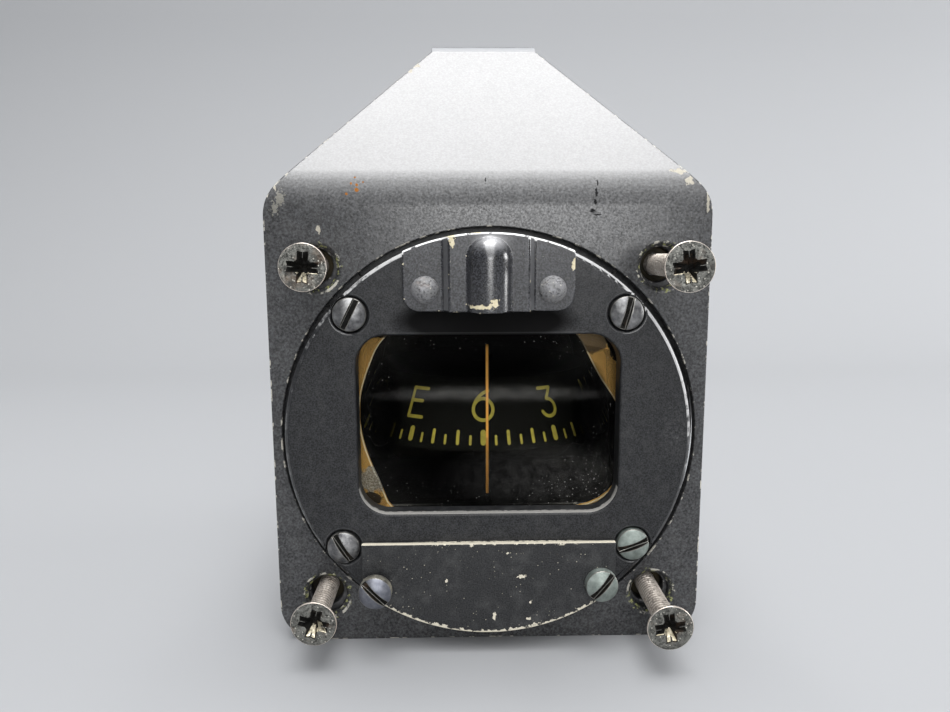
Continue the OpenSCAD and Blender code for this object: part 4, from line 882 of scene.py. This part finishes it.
# Studio: a pale seamless sweep under and behind the compass, lit by a bank of soft panels that reaches
# from overhead to the front, a window at the front and a panel at the side.
# The room gives a weaker light from all round.
floor_size, floor_ahead, wall_h = (6, 4.4, 1), (0, -1.6, 0), (0, 0, 2.2)
corner_r, corner_steps = 0.3, 24
sweep_grey = (0.28, 0.285, 0.294, 1)
bpy.ops.object.select_all(action="DESELECT")
bpy.ops.mesh.primitive_plane_add(size=1, location=(0, 0, 0))
sweep = bpy.context.active_object
sweep.name = "studio_sweep"
bpy.ops.object.mode_set(mode="EDIT")
bpy.ops.mesh.select_all(action="SELECT")
bpy.ops.transform.resize(value=floor_size)
bpy.ops.transform.translate(value=floor_ahead)
bpy.ops.object.mode_set(mode="OBJECT")
for edge in sweep.data.edges:
    edge.select = all(sweep.data.vertices[v].co.y > 0 for v in edge.vertices)
for polygon in sweep.data.polygons:
    polygon.select = False
for vertex in sweep.data.vertices:
    vertex.select = vertex.co.y > 0
bpy.ops.object.mode_set(mode="EDIT")
bpy.ops.mesh.select_mode(type="EDGE")
bpy.ops.mesh.extrude_region_move(TRANSFORM_OT_translate={"value": wall_h})
bpy.ops.object.mode_set(mode="OBJECT")
corner = sweep.modifiers.new("corner", "BEVEL")
corner.width, corner.segments = corner_r, corner_steps
bpy.context.view_layer.objects.active = sweep
bpy.ops.object.modifier_apply(modifier="corner")
bpy.ops.object.shade_smooth()
pale, place = new_finish("pale_sweep")
surface(place, Base_Color=sweep_grey, Roughness=0.9, Specular_IOR_Level=0.1)
sweep.data.materials.append(pale)


def soft_light(name, place, aim, width, depth, radiance):
    """A soft panel of that size in metres, turned to its aim."""
    lamp = bpy.data.lights.new(name, "AREA")
    lamp.shape, lamp.size, lamp.size_y = "RECTANGLE", width, depth
    lamp.energy = radiance * math.pi * width * depth
    light = bpy.data.objects.new(name, lamp)
    light.location = place
    light.rotation_euler = (Vector(aim) - Vector(place)).to_track_quat("-Z", "Y").to_euler()
    bpy.context.scene.collection.objects.link(light)


reach, level = 1.25, 0.08
for name, turn, x, width, depth, radiance in (
        ("top_panel", 100, 0.04, 0.9, 0.44, 10.5), ("high_panel", 80, 0.04, 0.9, 0.44, 9.0),
        ("slanting_panel", 60, 0.06, 0.9, 0.44, 5.8), ("low_panel", 40, 0.12, 0.9, 0.44, 3.8),
        ("front_panel", 20, 0.16, 0.8, 0.4, 2.8), ("window", 4.5, 0.12, 0.5, 0.24, 11.0)):
    lean = math.radians(turn)
    spot = (x, -reach * math.cos(lean), level + reach * math.sin(lean))
    soft_light(name, spot, (x, 0, level), width, depth, radiance)
soft_light("side_panel", (0.97, 0.18, 0.21), (0, 0, level), 0.5, 0.4, 11.0)

room_low, room_high = (0.08, 0.084, 0.09, 1), (0.36, 0.37, 0.39, 1)
world = bpy.data.worlds.new("room")
bpy.context.scene.world = world
world.use_nodes = True
room = Field(world.node_tree, world.node_tree.nodes.new("ShaderNodeTexCoord").outputs["Generated"])
height = room.node("SeparateXYZ", None, {"Vector": room}, "Z")
background = room.node("Background", None, {"Color": tint(ramp(height, -0.05, 0.9), room_low, room_high)})
world.node_tree.links.new(background.socket, world.node_tree.nodes["World Output"].inputs["Surface"])

# The camera stands where the photograph was taken, and its focal length is given in pixels of that frame.
focal_pixels, frame_pixels, sensor = 720, 950, 36.0
camera = bpy.data.cameras.new("camera")
camera.sensor_width, camera.lens = sensor, sensor * focal_pixels / frame_pixels
camera.clip_start = 0.01
eye = bpy.data.objects.new("camera", camera)
eye.location = (-5.067 * mm, -132.453 * mm, 75.209 * mm)
eye.rotation_euler = (math.pi / 2 - 0.147, 0.004, -0.019)
bpy.context.scene.collection.objects.link(eye)
bpy.context.scene.camera = eye
bpy.context.scene.view_settings.view_transform = "Standard"
